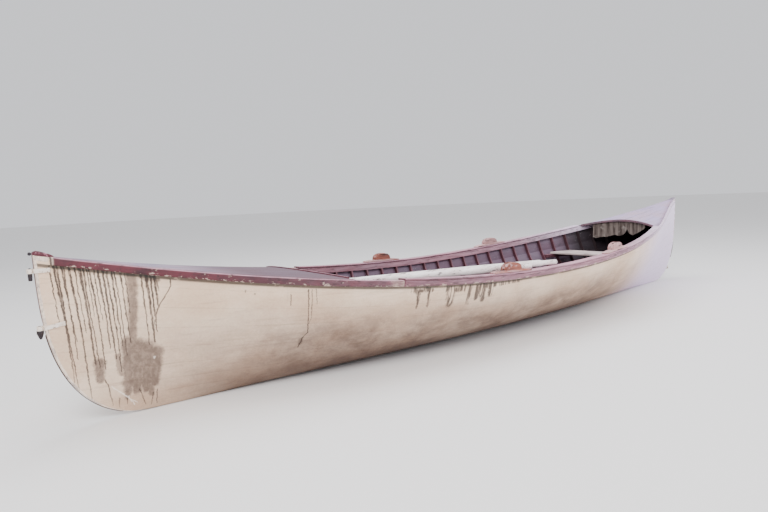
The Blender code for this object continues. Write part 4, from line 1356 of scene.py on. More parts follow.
@dataclass(frozen=True)
class Stems:
    """Both stem posts with their heads, caps and metal bands."""

    back_share: float = 0.9660
    under_canvas: float = 0.0018
    levels: int = 56
    head_long: float = 0.066
    # Rise of a head over the sheer, and thickness of its cap
    heads: tuple[tuple[End, float, float], ...] = ((End.STERN, 0.003, 0.0185),
                                                   (End.BOW, 0.003, 0.0085))
    # Distance back from the stem's face, and share of the width there
    nose: tuple[Pair, ...] = ((0.0086, 1.0), (0.0050, 1.0), (0.0028, 0.93), (0.0012, 0.80),
                              (0.0003, 0.60), (0.0, 0.0))
    nose_share: float = 0.996
    # Shares of a peak's outline and of its height, from its foot to its top
    dome: tuple[Pair, ...] = ((1.0, 0.0), (1.012, 0.06), (1.02, 0.22), (1.005, 0.42),
                              (0.97, 0.58), (0.90, 0.72), (0.78, 0.83), (0.60, 0.93),
                              (0.40, 0.98), (0.20, 1.0))
    band_half: float = 0.006
    band_thick: float = 0.003
    hook_z: float = 0.172
    hook_radius: float = 0.010

    def post_ring(self, t: float) -> Ring:
        """One level section of the post, for a bow, port half then starboard."""
        tip = Vector((FORM.place(1, t), 0, FORM.skin(1, t).z))
        y = FORM.skin(self.nose_share, t).y
        back = self.back_share + (0.013 if t < 0.05 else 0.0)
        port = []
        for share in (back, 0.975, 0.984, 0.993):
            point = FORM.skin(max(share, back), t)
            port.append(Vector((point.x, max(point.y - self.under_canvas, 0.004), point.z)))
        for off, width in self.nose:
            port.append(Vector((tip.x - off, width * y, tip.z)))
        return port + mirrored(port[:-1])

    def post(self, end: End, rise: float) -> Piece:
        """A post and the block of its head, joined.

        Args:
            end: which end of the boat.
            rise: how far the head's sloping top stands over the sheer.

        Returns:
            The piece.
        """
        def placed(point: Vector) -> Vector:
            """A bow point at the wanted end."""
            return Vector((end.value * point.x, point.y, point.z))

        rings = []
        for i in range(self.levels + 1):
            t = (i / self.levels) ** 1.5
            rings.append([placed(p) for p in self.post_ring(t)])
        post = lay_sections("post", rings)
        back = FORM.half - self.head_long
        wide = FORM.half_breadth(back / FORM.half)
        front = FORM.skin(self.nose_share, 1.0).y
        block = []
        for up, shrink in ((-0.016, 0.0006), (0.0004, 0.0), (rise - 0.0010, 0.0), (rise, 0.0010)):
            port = [Vector((back + shrink, 0.0, 0)), Vector((back + shrink, 0.8 * wide, 0))]
            for share in spaced(0.02, 1, 6):
                x = back + (FORM.half - self.nose[0][0] - back) * share
                y = wide + (front - wide) * share ** 0.8
                port.append(Vector((x, y - shrink, 0)))
            port += [Vector((FORM.half - off - shrink, width * front - shrink * width, 0))
                     for off, width in self.nose[1:]]
            for p in port:
                p.z = FORM.sheer(p.x / FORM.half) + up
            ring = port + mirrored(port[1:-1])
            block.append([placed(p) for p in ring])
        name = end.name.lower()
        return joined(f"{name}_stem_post", [post, lay_sections("head", block)])

    def cap(self, end: End, rise: float, thick: float) -> Piece:
        """The weathered peak of a head, highest towards its front.

        Args:
            end: which end of the boat.
            rise: how far the head stands over the sheer.
            thick: thickness of the cap.

        Returns:
            The piece.
        """
        back = FORM.half - self.head_long
        wide = FORM.half_breadth(back / FORM.half)
        front = FORM.skin(self.nose_share, 1.0).y
        middle = Vector((FORM.half - 0.5 * self.head_long, 0, 0))
        outline = [Vector((back, 0, 0))]
        outline += [Vector((back, wide * f, 0)) for f in (0.35, 0.7, 0.92)]
        outline += [Vector((back + 0.003, wide, 0))]
        outline += [Vector((x, wide + (front - wide) * (x - back) / self.head_long, 0))
                    for x in spaced(back + 0.010, FORM.half - 0.006, 7)]
        outline += [Vector((FORM.half - 0.001, 0.7 * front, 0)), Vector((FORM.half, 0, 0))]
        outline += mirrored(outline[1:-1])
        rings = []
        slope = ((back, 0.62), (back + 0.020, 0.72), (back + 0.050, 1.0), (FORM.half, 0.86))
        for share, up in self.dome:
            ring = []
            for point in outline:
                moved = middle + (point - middle) * share
                rough = 0.06 * noise.noise(moved * 110 + Vector((0, 0, 3 * up))) * (share < 1)
                peak = thick * min(1.0, max(0.0, up * ramped(slope, moved.x) + rough))
                high = FORM.sheer(moved.x / FORM.half) + rise + 0.0003 + peak
                ring.append(Vector((end.value * moved.x, moved.y, high)))
            rings.append(ring)
        return lay_sections(f"{end.name.lower()}_stem_peak", rings)

    def band_section(self, x: float, z: float, run: Vector, off: float, end: End) -> Ring:
        """One half-oval section of a band that stands off the stem."""
        out = Vector((run.z, 0, -run.x))
        ring = []
        for f in spaced(-1, 1, 7):
            bulge = self.band_thick * math.sqrt(1 - f * f * 0.96)
            ring.append(Vector((x, self.band_half * f, z)) + out * (off + bulge))
        for f in (0.5, -0.5):
            ring.append(Vector((x, self.band_half * f, z)) + out * (off + 0.0002))
        return [Vector((end.value * p.x, p.y, p.z)) for p in ring]

    def band(self, end: End, foot: float, top: float, loose: Sequence[Pair]) -> Piece:
        """A band down a stem's face.

        Args:
            end: which end of the boat.
            foot: the lowest height of the stem's face that it covers.
            top: its top.
            loose: (height, how far it stands off there) pairs.

        Returns:
            The piece.
        """
        points = []
        for i in range(81):
            t = (i / 80) ** 1.6
            z = FORM.keel(1) + t * (FORM.sheer(1) - FORM.keel(1))
            if foot <= z <= top:
                points.append(Vector((FORM.place(1, t), 0, z)))
        rings = []
        for i, p in enumerate(points):
            run = (points[min(i + 1, len(points) - 1)] - points[max(i - 1, 0)]).normalized()
            rings.append(self.band_section(p.x, p.z, run, 0.0004 + ramped(loose, p.z), end))
        return lay_sections(f"{end.name.lower()}_stem_strip", rings)

    def hook(self) -> Piece:
        """The bent tip of the loose band at the bow."""
        rings = []
        root = Vector((FORM.face(self.hook_z) + 0.0012, 0, self.hook_z))
        half = Vector((0, 0.004, 0))
        for a in spaced(0, 150, 9):
            angle = math.radians(a)
            bend = Vector((-math.sin(angle), 0, math.cos(angle) - 1)) * self.hook_radius
            centre = root + bend
            across = Vector((math.cos(angle), 0, -math.sin(angle))) * 0.0014
            rings.append([centre + across + half, centre + across - half,
                          centre - across - half, centre - across + half])
        return lay_sections("hook", rings)

    def build(self, palette: Palette) -> None:
        """Build and dress both stems."""
        for end, rise, thick in self.heads:
            name = end.name.lower()
            paint = palette.stem if end is End.STERN else palette.bow_stem
            dress(self.post(end, rise), paint, Slot.STEM, f"{name}_stem")
            dress(self.cap(end, rise, thick), palette.cap, Slot.CAP, f"{name}_stem_cap")
        knob = [(0.0, -0.0065)] + [(0.0065 * math.cos(a), 0.0065 * math.sin(a))
                                   for a in spaced(-1.3, 1.3, 9)] + [(0.0, 0.0065)]
        knob = turned("stem_head_stud", knob, Vector((-FORM.half - 0.0078, 0, 0.6755)), 20)
        dress(knob, palette.iron, Slot.IRON, "stem_head_knob")
        stern = self.band(End.STERN, 0.018, 0.375, ((0.0, 0.0), (1.0, 0.0)))
        dress(stern, palette.band, Slot.BAND, "stern_stem_band")
        loose = ((0.170, 0.0120), (0.230, 0.0165), (0.300, 0.0130), (0.345, 0.0020), (0.4, 0.0))
        bow = joined("bow_stem_strip", [self.band(End.BOW, 0.178, 0.655, loose), self.hook()])
        dress(bow, palette.band, Slot.BAND, "bow_stem_band")


@dataclass(frozen=True)
class Ribs:
    """The sawn ribs and the batten along the bottom that ties them."""

    first: float = -1.765
    pitch: float = 0.125
    count: int = 29
    sided: float = 0.010
    deep: float = 0.018
    outer: float = 0.0074
    bedded: float = 0.0022
    under_rail: float = 0.036
    batten_half: float = 0.045
    batten_thick: float = 0.014
    batten_end: float = 1.82

    def rib(self, x: float) -> Piece:
        """One rib from rail to rail."""
        tall = FORM.sheer(x / FORM.half) - FORM.keel(x / FORM.half)
        top = 10 * 2 / math.pi * math.acos((self.under_rail / tall) ** (0.5 * FORM.section_power))
        half = 0.5 * self.sided
        profile = rounded(((-half, 0), (half, 0), (half, 1), (-half, 1)), 0.0028, 2)
        levels = spaced(top, 0, 26)
        port = []
        for k in levels:
            t = FORM.level(k)
            a = FORM.in_plane(x, t, self.outer)
            b = FORM.in_plane(x, t, self.outer + self.bedded + self.deep)
            port.append([a.lerp(b, min(max(depth, 0.0), 1.0)) + Vector((side, 0, 0))
                         for side, depth in profile])
        starboard = [[to_side(p, Side.STARBOARD) for p in ring] for ring in reversed(port)]
        return lay_sections("rib", port + starboard)

    def batten(self) -> Piece:
        """The bottom batten."""
        rings = []
        for x in spaced(-self.batten_end, self.batten_end, 60):
            s = FORM.share_at(x, 0)
            low = FORM.keel(s) + 0.0094
            half = min(self.batten_half, FORM.flat(s) - 0.007)
            outline = rounded(((-half, low), (half, low), (half, low + self.batten_thick),
                               (-half, low + self.batten_thick)), 0.003, 2)
            rings.append([Vector((x, y, z)) for y, z in outline])
        return lay_sections("batten", rings)

    def build(self, palette: Palette) -> None:
        """Build and dress the frame."""
        pieces = [self.rib(self.first + self.pitch * i) for i in range(self.count)]
        frame_piece = joined("rib_frame_sawn", pieces + [self.batten()])
        dress(frame_piece, palette.ribs, Slot.INNER, "rib_frame")


@dataclass(frozen=True)
class Rails:
    """Inwales, outwales in two lengths and gunwale caps."""

    joint: float = -1.05
    joint_gap: float = 0.004
    inwale_end: float = 0.93
    outwale_end: float = 0.972
    stern_heel: float = 0.979
    cap_end: float = 1.496
    stations: int = 110

    def swept(self, name: str, first: float, last: float, outline: Sequence[Pair], side: Side,
              inner: bool = False, level: bool = False) -> Piece:
        """A rail along the sheer.

        Args:
            name: the piece's name.
            first: place of its stern end.
            last: place of its bow end.
            outline: (outward, downward) corners from the sheer.
            side: which side of the boat.
            inner: whether it lies against the inside of the planking.
            level: whether it stays square instead of following the plank's slope.

        Returns:
            The piece.
        """
        rings = []
        count = max(12, int(self.stations * (last - first) / 4.7))
        for x in spaced(first, last, count):
            s = x / FORM.half
            top = FORM.skin(s, 1.0)
            low = FORM.skin(s, FORM.level(9))
            slope = (low - top) / (top.z - low.z)
            if inner:
                normal = FORM.normal(s, 0.97)
                top = top - Vector((0, 0.0078 / max(normal.y, 0.5), 0))
            ring = []
            for out, drop in outline:
                point = top + (Vector() if level else slope * drop) + Vector((0, out, 0))
                point.z = top.z - drop
                ring.append(to_side(point, side))
            rings.append(ring)
        return lay_sections(name, rings)

    def build(self, palette: Palette) -> None:
        """Build and dress every rail."""
        aft, fore = self.joint - 0.5 * self.joint_gap, self.joint + 0.5 * self.joint_gap
        inner_end = self.inwale_end * FORM.half
        inwale = rounded(((-0.018, 0), (0, 0), (0, 0.032), (-0.018, 0.032)), 0.0035)
        main = rounded(((0.0008, 0), (0.0208, 0), (0.0208, 0.021), (0.0158, 0.026),
                        (0.0008, 0.026)), 0.0035)
        stern = rounded(((0.0008, -0.005), (0.0158, -0.005), (0.0208, 0.0), (0.0208, 0.021),
                         (0.0158, 0.026), (0.0008, 0.026)), 0.0030)
        cap = rounded(((0.022, -CAP_UNDER), (0.022, -CAP_TOP), (-0.030, -CAP_TOP),
                       (-0.030, -CAP_UNDER)), 0.0036)
        for side in Side:
            name = side.name.lower()
            plan = (
                ("inwale", -inner_end, inner_end, inwale, True, False),
                ("outwale_stern", -self.stern_heel * FORM.half, aft, stern, False, False),
                ("outwale_main", fore, self.outwale_end * FORM.half, main, False, False),
                ("gunwale_cap", fore, self.cap_end, cap, False, True),
            )
            for rail, first, last, outline, inner, level in plan:
                piece = self.swept(f"{rail}_{name}_worn", first, last, outline, side, inner, level)
                worn(piece, 0.0006, (6, 40, 40), seed=3.0 * side.value)
                paint = palette.rail if rail.startswith("outwale") else palette.rail_inner
                dress(piece, paint, Slot.RAIL, f"{rail}_{name}")


@dataclass(frozen=True)
class Deck:
    """A crowned end deck with a hollow edge and its coaming."""

    end: End
    corner: float
    middle: float
    crown: float
    thick: float = 0.005
    bed: float = 0.0010
    stem_share: float = 0.972
    coaming_thick: float = 0.009
    coaming_deep: float = 0.036
    coaming_proud: float = 0.004
    coaming_off: float = 0.0012

    def point(self, u: float, v: float, lift: float) -> Vector:
        """A point of the deck: u runs from the stem to the hollow edge, v across."""
        tip = self.stem_share * FORM.half
        edge = self.corner + (self.middle - self.corner) * (1 - v * v)
        x = tip + u * (edge - tip)
        s = x / FORM.half
        half = FORM.half_breadth(s) - 0.001
        crown = self.crown * half / FORM.half_breadth(self.corner / FORM.half)
        z = FORM.sheer(s) + self.bed + self.thick + crown * (1 - v * v) + lift
        return Vector((self.end.value * x, v * half, z))

    def board(self) -> Piece:
        """The deck itself, with its canvas rolled over the hollow edge."""
        rings = []
        for u in [0.0] + spaced(0.002, 0.996, 44) + [0.9985, 1.0]:
            roll = {0.9985: 0.0004, 1.0: 0.0014}.get(u, 0.0)
            top, low = [], []
            for v in spaced(-1, 1, 41):
                wave = 0.0007 * noise.noise(Vector((9 * u, 5 * v, 2.0 + self.end.value)))
                top.append(self.point(u, v, -roll - 0.0007 + wave))
                low.append(self.point(u, v, -self.thick + roll))
            rings.append(top + low[::-1])
        return lay_sections(f"{self.end.name.lower()}_deck_board", rings, angle=50)

    def coaming(self) -> Piece:
        """The bent lip that stands against the hollow edge."""
        inner = 1 - 0.032 / FORM.half_breadth(self.corner / FORM.half)
        out = self.end.value
        near, far = self.coaming_off, self.coaming_off + self.coaming_thick
        outline = rounded(((near, self.coaming_proud), (far, self.coaming_proud),
                           (far, -self.coaming_deep), (near, -self.coaming_deep)), 0.0028)
        rings = []
        for v in spaced(-inner, inner, 64):
            at = self.point(1, v, 0)
            rings.append([at + Vector((-out * back, 0, up)) for back, up in outline])
        return lay_sections(f"{self.end.name.lower()}_coaming_lip", rings)

    def build(self, palette: Palette) -> None:
        """Build and dress the deck and its coaming."""
        name = self.end.name.lower()
        dress(self.board(), palette.deck, Slot.DECK, f"{name}_deck")
        lip = worn(self.coaming(), 0.0005, (30, 12, 30))
        dress(lip, palette.coaming, Slot.RAIL, f"{name}_coaming")


@dataclass(frozen=True)
class TornApron:
    """The torn canvas that hangs behind the bow deck's edge."""

    deck: Deck
    thick: float = 0.0012
    setback: float = 0.0065
    columns: int = 150
    rows: int = 22
    flat: tuple[float, float] = (0.47, 0.126)
    cut_area: float = 0.049
    # Share across the deck's edge, and how far down the canvas hangs there
    torn: tuple[Pair, ...] = (
        (-0.66, 0.040), (-0.55, 0.066), (-0.42, 0.092), (-0.30, 0.112), (-0.20, 0.104),
        (-0.12, 0.070), (-0.07, 0.100), (0.02, 0.120), (0.12, 0.124), (0.22, 0.114),
        (0.32, 0.120), (0.44, 0.126), (0.55, 0.120), (0.64, 0.124), (0.70, 0.112),
    )

    def build(self, palette: Palette) -> None:
        rows = []
        for f in spaced(0, 1, self.rows):
            row = []
            for v in spaced(self.torn[0][0], self.torn[-1][0], self.columns):
                at = self.deck.point(1, v, -self.deck.thick - 0.0004)
                fray = 0.004 * noise.noise(Vector((v * 42, 0.3, 7.0)))
                fray += 0.0022 * noise.noise(Vector((v * 150, 1, 3)))
                deep = (ramped(self.torn, v) - 0.004 + fray) * f
                flute = 0.0022 * math.sin(34 * v + 1.2 * math.sin(9 * v)) * f
                curl = 0.004 * max(0.0, (v - 0.60) / 0.10) * f * f
                row.append(at + Vector((self.setback + flute * 0.8 + 0.0012 - curl, 0, -deep)))
            rows.append(row)
        piece = lay_sections("bow_apron_canvas", rows, closed=False)
        thicken(piece, self.thick, lambda face: face.normal.x < 0)
        dress(piece, palette.apron, Slot.APRON, "bow_apron")


@dataclass(frozen=True)
class Seat:
    """A seat of boards laid across the boat."""

    name: str
    aft: float
    width: float
    top: float
    clear: float
    boards: int
    thick: float = 0.016
    gap: float = 0.003
    # How deep under the skin the ribs' faces lie, and how much shorter a board is
    rib_face: float = 0.0274
    short: float = 0.0045

    def half_at(self, x: float) -> float:
        """Half length of a board at a place along the boat."""
        depth = self.rib_face + self.clear
        ends = []
        for end in (self.aft, self.aft + self.width):
            ends.append(min(FORM.breadth_at(end, z, depth)
                            for z in (self.top - self.thick, self.top)))
        share = (x - self.aft) / self.width
        return ends[0] + (ends[1] - ends[0]) * share - self.short

    def build(self, material: Material, slot: Slot) -> None:
        """Build and dress the boards as one piece."""
        each = (self.width - self.gap * (self.boards - 1)) / self.boards
        pieces = []
        for i in range(self.boards):
            x0 = self.aft + i * (each + self.gap)
            outline = rounded(((x0, self.top - self.thick), (x0 + each, self.top - self.thick),
                               (x0 + each, self.top), (x0, self.top)), 0.004)
            reach = {x: self.half_at(x) for x, _ in outline}
            rings = []
            for v in [-1, -0.997] + spaced(-0.98, 0.98, 25) + [0.997, 1]:
                pinch = 0.0015 if abs(v) == 1 else 0.0
                middle = Vector((x0 + 0.5 * each, 0, self.top - 0.5 * self.thick))
                ring = []
                for x, z in outline:
                    point = Vector((x, v * reach[x], z))
                    towards = Vector((middle.x - x, 0, middle.z - z))
                    ring.append(point + towards.normalized() * pinch)
                rings.append(ring)
            board = lay_sections(f"board_{i}", rings)
            pieces.append(worn(board, 0.0007, (30, 5, 30), seed=5.0 * i))
        dress(joined(f"{self.name}_boards", pieces), material, slot, self.name)


@dataclass(frozen=True)
class LockBlock:
    """A block on the gunwale cap that carried an oarlock."""

    station: str
    x: float
    side: Side
    base_long: float = 0.280
    base_high: float = 0.011
    hump_long: float = 0.120
    hump_high: float = 0.050
    wide: float = 0.040
    hole: float = 0.0075
    seed: float = 0.0

    def outline(self) -> list[Pair]:
        """Side outline: a long base with chipped ends and a round hump."""
        half = 0.5 * self.base_long
        low = 0.6 * self.base_high
        points = [(x, 0.0) for x in spaced(-half, half, 24)]
        points += [(half, 0.5 * low), (half - 0.001, low), (half - 0.025, 0.85 * self.base_high)]
        foot = 0.5 * self.hump_long + 0.004
        points += [(x, self.base_high) for x in spaced(half - 0.05, foot, 5)]
        for a in spaced(0, 180, 33):
            angle = math.radians(a)
            reach = math.cos(angle)
            across = 0.5 * self.hump_long * math.copysign(abs(reach) ** 0.75, reach)
            share = math.sin(angle) ** 0.8 if 0 < a < 180 else 0.0
            high = self.base_high + (self.hump_high - self.base_high) * share
            points.append((across, high))
        points += [(x, self.base_high) for x in spaced(-foot, 0.05 - half, 5)]
        points += [(0.025 - half, 0.85 * self.base_high), (0.001 - half, low), (-half, 0.5 * low)]
        return points

    def frame(self) -> tuple[Vector, Matrix]:
        """Place and rotation of the block on the cap."""
        def cap_top(x: float) -> Vector:
            """Middle of the cap's top face."""
            return FORM.rim(x, out=-0.004, rise=CAP_TOP)
        half = 0.5 * self.base_long
        aft, fore = cap_top(self.x - half), cap_top(self.x + half)
        along = (fore - aft).normalized()
        centre = 0.5 * (aft + fore)
        centre.y = min(centre.y + 0.004, cap_top(self.x).y)
        if self.side is Side.STARBOARD:
            along.y, centre.y = -along.y, -centre.y
        across = Vector((0, 0, 1)).cross(along).normalized()
        return centre, Matrix((along, across, along.cross(across))).transposed()

    def build(self, palette: Palette) -> Piece:
        """Build and dress the block.

        Returns:
            The iron lining of its socket.
        """
        centre, turn = self.frame()
        lift = turn @ Vector((0, 0, 0.0006))
        outline = self.outline()
        rings = []
        for w in spaced(-0.5 * self.wide, 0.5 * self.wide, 9):
            ring = []
            for a, b in outline:
                chip = 0.0016 * noise.noise(Vector((a * 60 + self.seed, w * 90, b * 60)))
                gnaw = noise.noise(Vector((w * 120 + self.seed, 3, math.copysign(5, a))))
                end = 1 - 0.012 * max(0.0, gnaw)
                high = b + (chip if b > 0.7 * self.base_high else 0.0) - 0.0008 * (b > 0.03)
                ring.append(centre + lift + turn @ Vector((a * end, w, max(0.0, high))))
            rings.append(ring)
        name = f"oarlock_block_{self.station}_{self.side.name.lower()}"
        piece = soften(lay_sections(f"{name}_wood", rings), 0.0024, 3, 55)
        tilt = Matrix.Rotation(math.radians(-25), 3, "Y")
        mouth = centre + turn @ Vector((-0.032, 0, 0.052))
        drill = turned("drill", ((self.hole, -0.032), (self.hole, 0.032)), mouth, 24, turn @ tilt)
        alone(piece)
        socket = piece.modifiers.new("socket", "BOOLEAN")
        socket.object = drill
        socket.solver = "EXACT"
        bpy.ops.object.modifier_apply(modifier=socket.name)
        bpy.data.objects.remove(drill, do_unlink=True)
        smooth(piece, 40)
        dress(piece, palette.wood, Slot.BLOCK, name)
        wall = self.hole - 0.0003
        lip, bore = wall + 0.0016, wall - 0.0018
        sleeve = ((wall, -0.031), (wall, -0.0105), (lip, -0.0105), (lip, -0.0090),
                  (bore, -0.0090), (bore, -0.0300), (0.0, -0.0300), (0.0, -0.031))
        return turned(f"sleeve_{name}", sleeve, mouth, 24, turn @ tilt)


@dataclass(frozen=True)
class Oar:
    """An oar stowed along the starboard side, its blade under the stern deck."""

    name: str
    grip_x: float
    grip_y: float
    clear: float
    tip_y: float
    tip_z: float
    length: float = 2.12
    grip_radius: float = 0.0145
    sides: int = 24
    # Distance from the grip's end, half width and half depth there
    stations: tuple[Triple, ...] = (
        (0.000, 0.004, 0.004), (0.001, 0.009, 0.009), (0.004, 0.0138, 0.0138),
        (0.010, 0.0145, 0.0145), (0.060, 0.0140, 0.0140), (0.100, 0.0145, 0.0145),
        (0.108, 0.0162, 0.0162), (0.118, 0.0190, 0.0190), (0.130, 0.0195, 0.0195),
        (0.620, 0.0195, 0.0195), (1.050, 0.0165, 0.0165), (1.380, 0.0145, 0.0145),
        (1.450, 0.0190, 0.0125), (1.520, 0.0260, 0.0110), (1.640, 0.0460, 0.0075),
        (1.800, 0.0580, 0.0055), (1.960, 0.0620, 0.0040), (2.060, 0.0605, 0.0036),
        (2.100, 0.0540, 0.0033), (2.115, 0.0440, 0.0030), (2.120, 0.0380, 0.0016),
    )

    def build(self, palette: Palette) -> None:
        """Build and dress the oar."""
        rest = FORM.rim(self.grip_x).z + CAP_TOP + self.grip_radius + self.clear
        grip = Vector((self.grip_x, self.grip_y, rest))
        run = math.sqrt(self.length ** 2 - (self.tip_y - self.grip_y) ** 2
                        - (self.tip_z - rest) ** 2)
        tip = Vector((self.grip_x - run, self.tip_y, self.tip_z))
        along = (grip - tip).normalized()
        across = Vector((0, 0, 1)).cross(along).normalized()
        turn = Matrix((along, across, along.cross(across))).transposed()
        wide = [(back, w) for back, w, _ in self.stations]
        deep = [(back, d) for back, _, d in self.stations]
        places = sorted(set([back for back, _, _ in self.stations] + spaced(0.14, 2.10, 90)))
        rings = []
        for back in places:
            ring = []
            w, d = ramped(wide, back), ramped(deep, back)
            for i in range(self.sides):
                angle = 2 * math.pi * i / self.sides
                ring.append(grip + turn @ Vector((-back, d * math.cos(angle), w * math.sin(angle))))
            rings.append(ring)
        piece = lay_sections(f"{self.name}_painted", rings)
        worn(piece, 0.0005, (4, 60, 60), seed=self.grip_x)
        dress(piece, palette.oar, Slot.OAR, self.name)


@dataclass(frozen=True)
class Gudgeon:
    """A rudder strap round the stern stem, its eye and the stub left in it."""

    name: str
    eye_z: float
    slope: float
    leg: float
    stub: tuple[Pair, ...]
    high: float = 0.017
    thick: float = 0.0028
    eye_radius: float = 0.0105
    eye_hole: float = 0.0050
    off: float = 0.0008
    rivet: tuple[Pair, ...] = ((0.0, -0.0002), (0.0036, 0.0), (0.0034, 0.0008),
                               (0.0022, 0.0014), (0.0, 0.0017))

    def path(self) -> list[tuple[Vector, Vector]]:
        """Points down the port leg and round to the nose, each with its outward way."""
        made = []
        for back in spaced(self.leg, 0.012, 9):
            z = self.eye_z + self.slope * back / self.leg
            x = FORM.face(z) - back
            slope = FORM.breadth_at(x - 0.004, z) - FORM.breadth_at(x + 0.004, z)
            out = Vector((slope, 0.008, 0)).normalized()
            made.append((Vector((x, FORM.breadth_at(x, z) + self.off, z)), out))
        for back, y, angle in ((0.0060, 0.0142, 80), (0.0030, 0.0128, 58), (0.0012, 0.0104, 35),
                               (0.0, 0.0070, 10), (-0.0004, 0.0, 0)):
            x = FORM.face(self.eye_z) - back + 0.0004
            way = math.radians(angle)
            made.append((Vector((x, y, self.eye_z)), Vector((math.cos(way), math.sin(way), 0))))
        return made

    def build(self, palette: Palette) -> None:
        """Build and dress the strap and the stub."""
        outline = rounded(((0, -0.5 * self.high), (self.thick, -0.5 * self.high),
                           (self.thick, 0.5 * self.high), (0, 0.5 * self.high)), 0.0011, 3)
        port = [[at + out * n + Vector((0, 0, h)) for n, h in outline] for at, out in self.path()]
        rings = port + [[to_side(p, Side.STARBOARD) for p in ring] for ring in reversed(port[:-1])]
        strap = lay_sections("strap", [[Vector((-p.x, p.y, p.z)) for p in ring] for ring in rings])
        centre = Vector((-(FORM.face(self.eye_z) + self.eye_radius + 0.003), 0, self.eye_z))
        half = 0.5 * self.high
        ring = rounded(((self.eye_hole, -half), (self.eye_radius, -half), (self.eye_radius, half),
                        (self.eye_hole, half)), 0.0010, 2)
        eye = turned("eye", list(ring) + [ring[0]], centre, 28)
        weld(alone(eye))
        rivets = []
        for side in Side:
            for back in (0.35 * self.leg, 0.82 * self.leg):
                z = self.eye_z + self.slope * back / self.leg
                x = FORM.face(z) - back
                y = FORM.breadth_at(x, z) + self.off + self.thick
                slope = FORM.breadth_at(x - 0.004, z) - FORM.breadth_at(x + 0.004, z)
                out = Vector((-slope, side.value * 0.008, 0)).normalized()
                turn = out.to_track_quat("Z", "Y").to_matrix()
                at = Vector((-x, side.value * y, z)) - out * 0.0004
                rivets.append(turned("rivet", self.rivet, at, 14, turn))
        strap = joined(f"gudgeon_{self.name}_strap", [strap, smooth(eye)] + rivets)
        dress(strap, palette.gudgeon, Slot.GUDGEON, f"gudgeon_{self.name}")
        stub = turned(f"gudgeon_{self.name}_stub", self.stub, centre, 26)
        worn(stub, 0.0005, (160, 160, 160))
        dress(stub, palette.iron, Slot.IRON, f"gudgeon_pin_{self.name}")


# Radius and height of the stubs' outlines
UPPER_STUB = ((0.0, 0.0115), (0.0036, 0.0115), (0.0042, 0.0105), (0.0042, -0.0088),
              (0.0075, -0.0088), (0.0080, -0.0110), (0.0080, -0.0200), (0.0074, -0.0330),
              (0.0060, -0.0355), (0.0, -0.0360))
LOWER_STUB = ((0.0, 0.0095), (0.0036, 0.0095), (0.0042, 0.0085), (0.0042, -0.0088),
              (0.0122, -0.0088), (0.0125, -0.0105), (0.0125, -0.0195), (0.0110, -0.0225),
              (0.0056, -0.0370), (0.0036, -0.0405), (0.0, -0.0410))


@dataclass(frozen=True)
class RingBolt:
    """The ring bolt low on the bow stem."""

    z: float = 0.105
    radius: float = 0.0125
    thick: float = 0.010
    ring: float = 0.0100
    wire: float = 0.0028

    def build(self, palette: Palette) -> None:
        """Build and dress the bolt and its ring as one piece."""
        low = Vector((FORM.face(self.z - 0.010), 0, self.z - 0.010))
        high = Vector((FORM.face(self.z + 0.010), 0, self.z + 0.010))
        run = (high - low).normalized()
        out = Vector((run.z, 0, -run.x))
        base = Vector((FORM.face(self.z), 0, self.z)) + out * 0.0003
        turn = out.to_track_quat("Z", "Y").to_matrix()
        profile = ((0.0, 0.0), (self.radius, 0.0), (self.radius, 0.0020), (0.0100, 0.0034),
                   (0.0078, 0.0040), (0.0074, 0.0080), (0.0060, 0.0096), (0.0, self.thick))
        boss = turned("boss", profile, base, 28, turn)
        bpy.ops.object.select_all(action="DESELECT")
        bpy.ops.mesh.primitive_torus_add(major_radius=self.ring, minor_radius=self.wire,
                                         major_segments=36, minor_segments=14)
        ring = bpy.context.active_object
        at = base + out * (self.thick + 0.006) - run * 0.004
        place = Matrix.Translation(at) @ turn.to_4x4() @ Matrix.Rotation(math.radians(90), 4, "X")
        ring.data.transform(place)
        piece = joined("bow_ring_bolt_brass", [boss, smooth(ring)])
        dress(piece, palette.bolt, Slot.BOLT, "bow_ring_bolt")


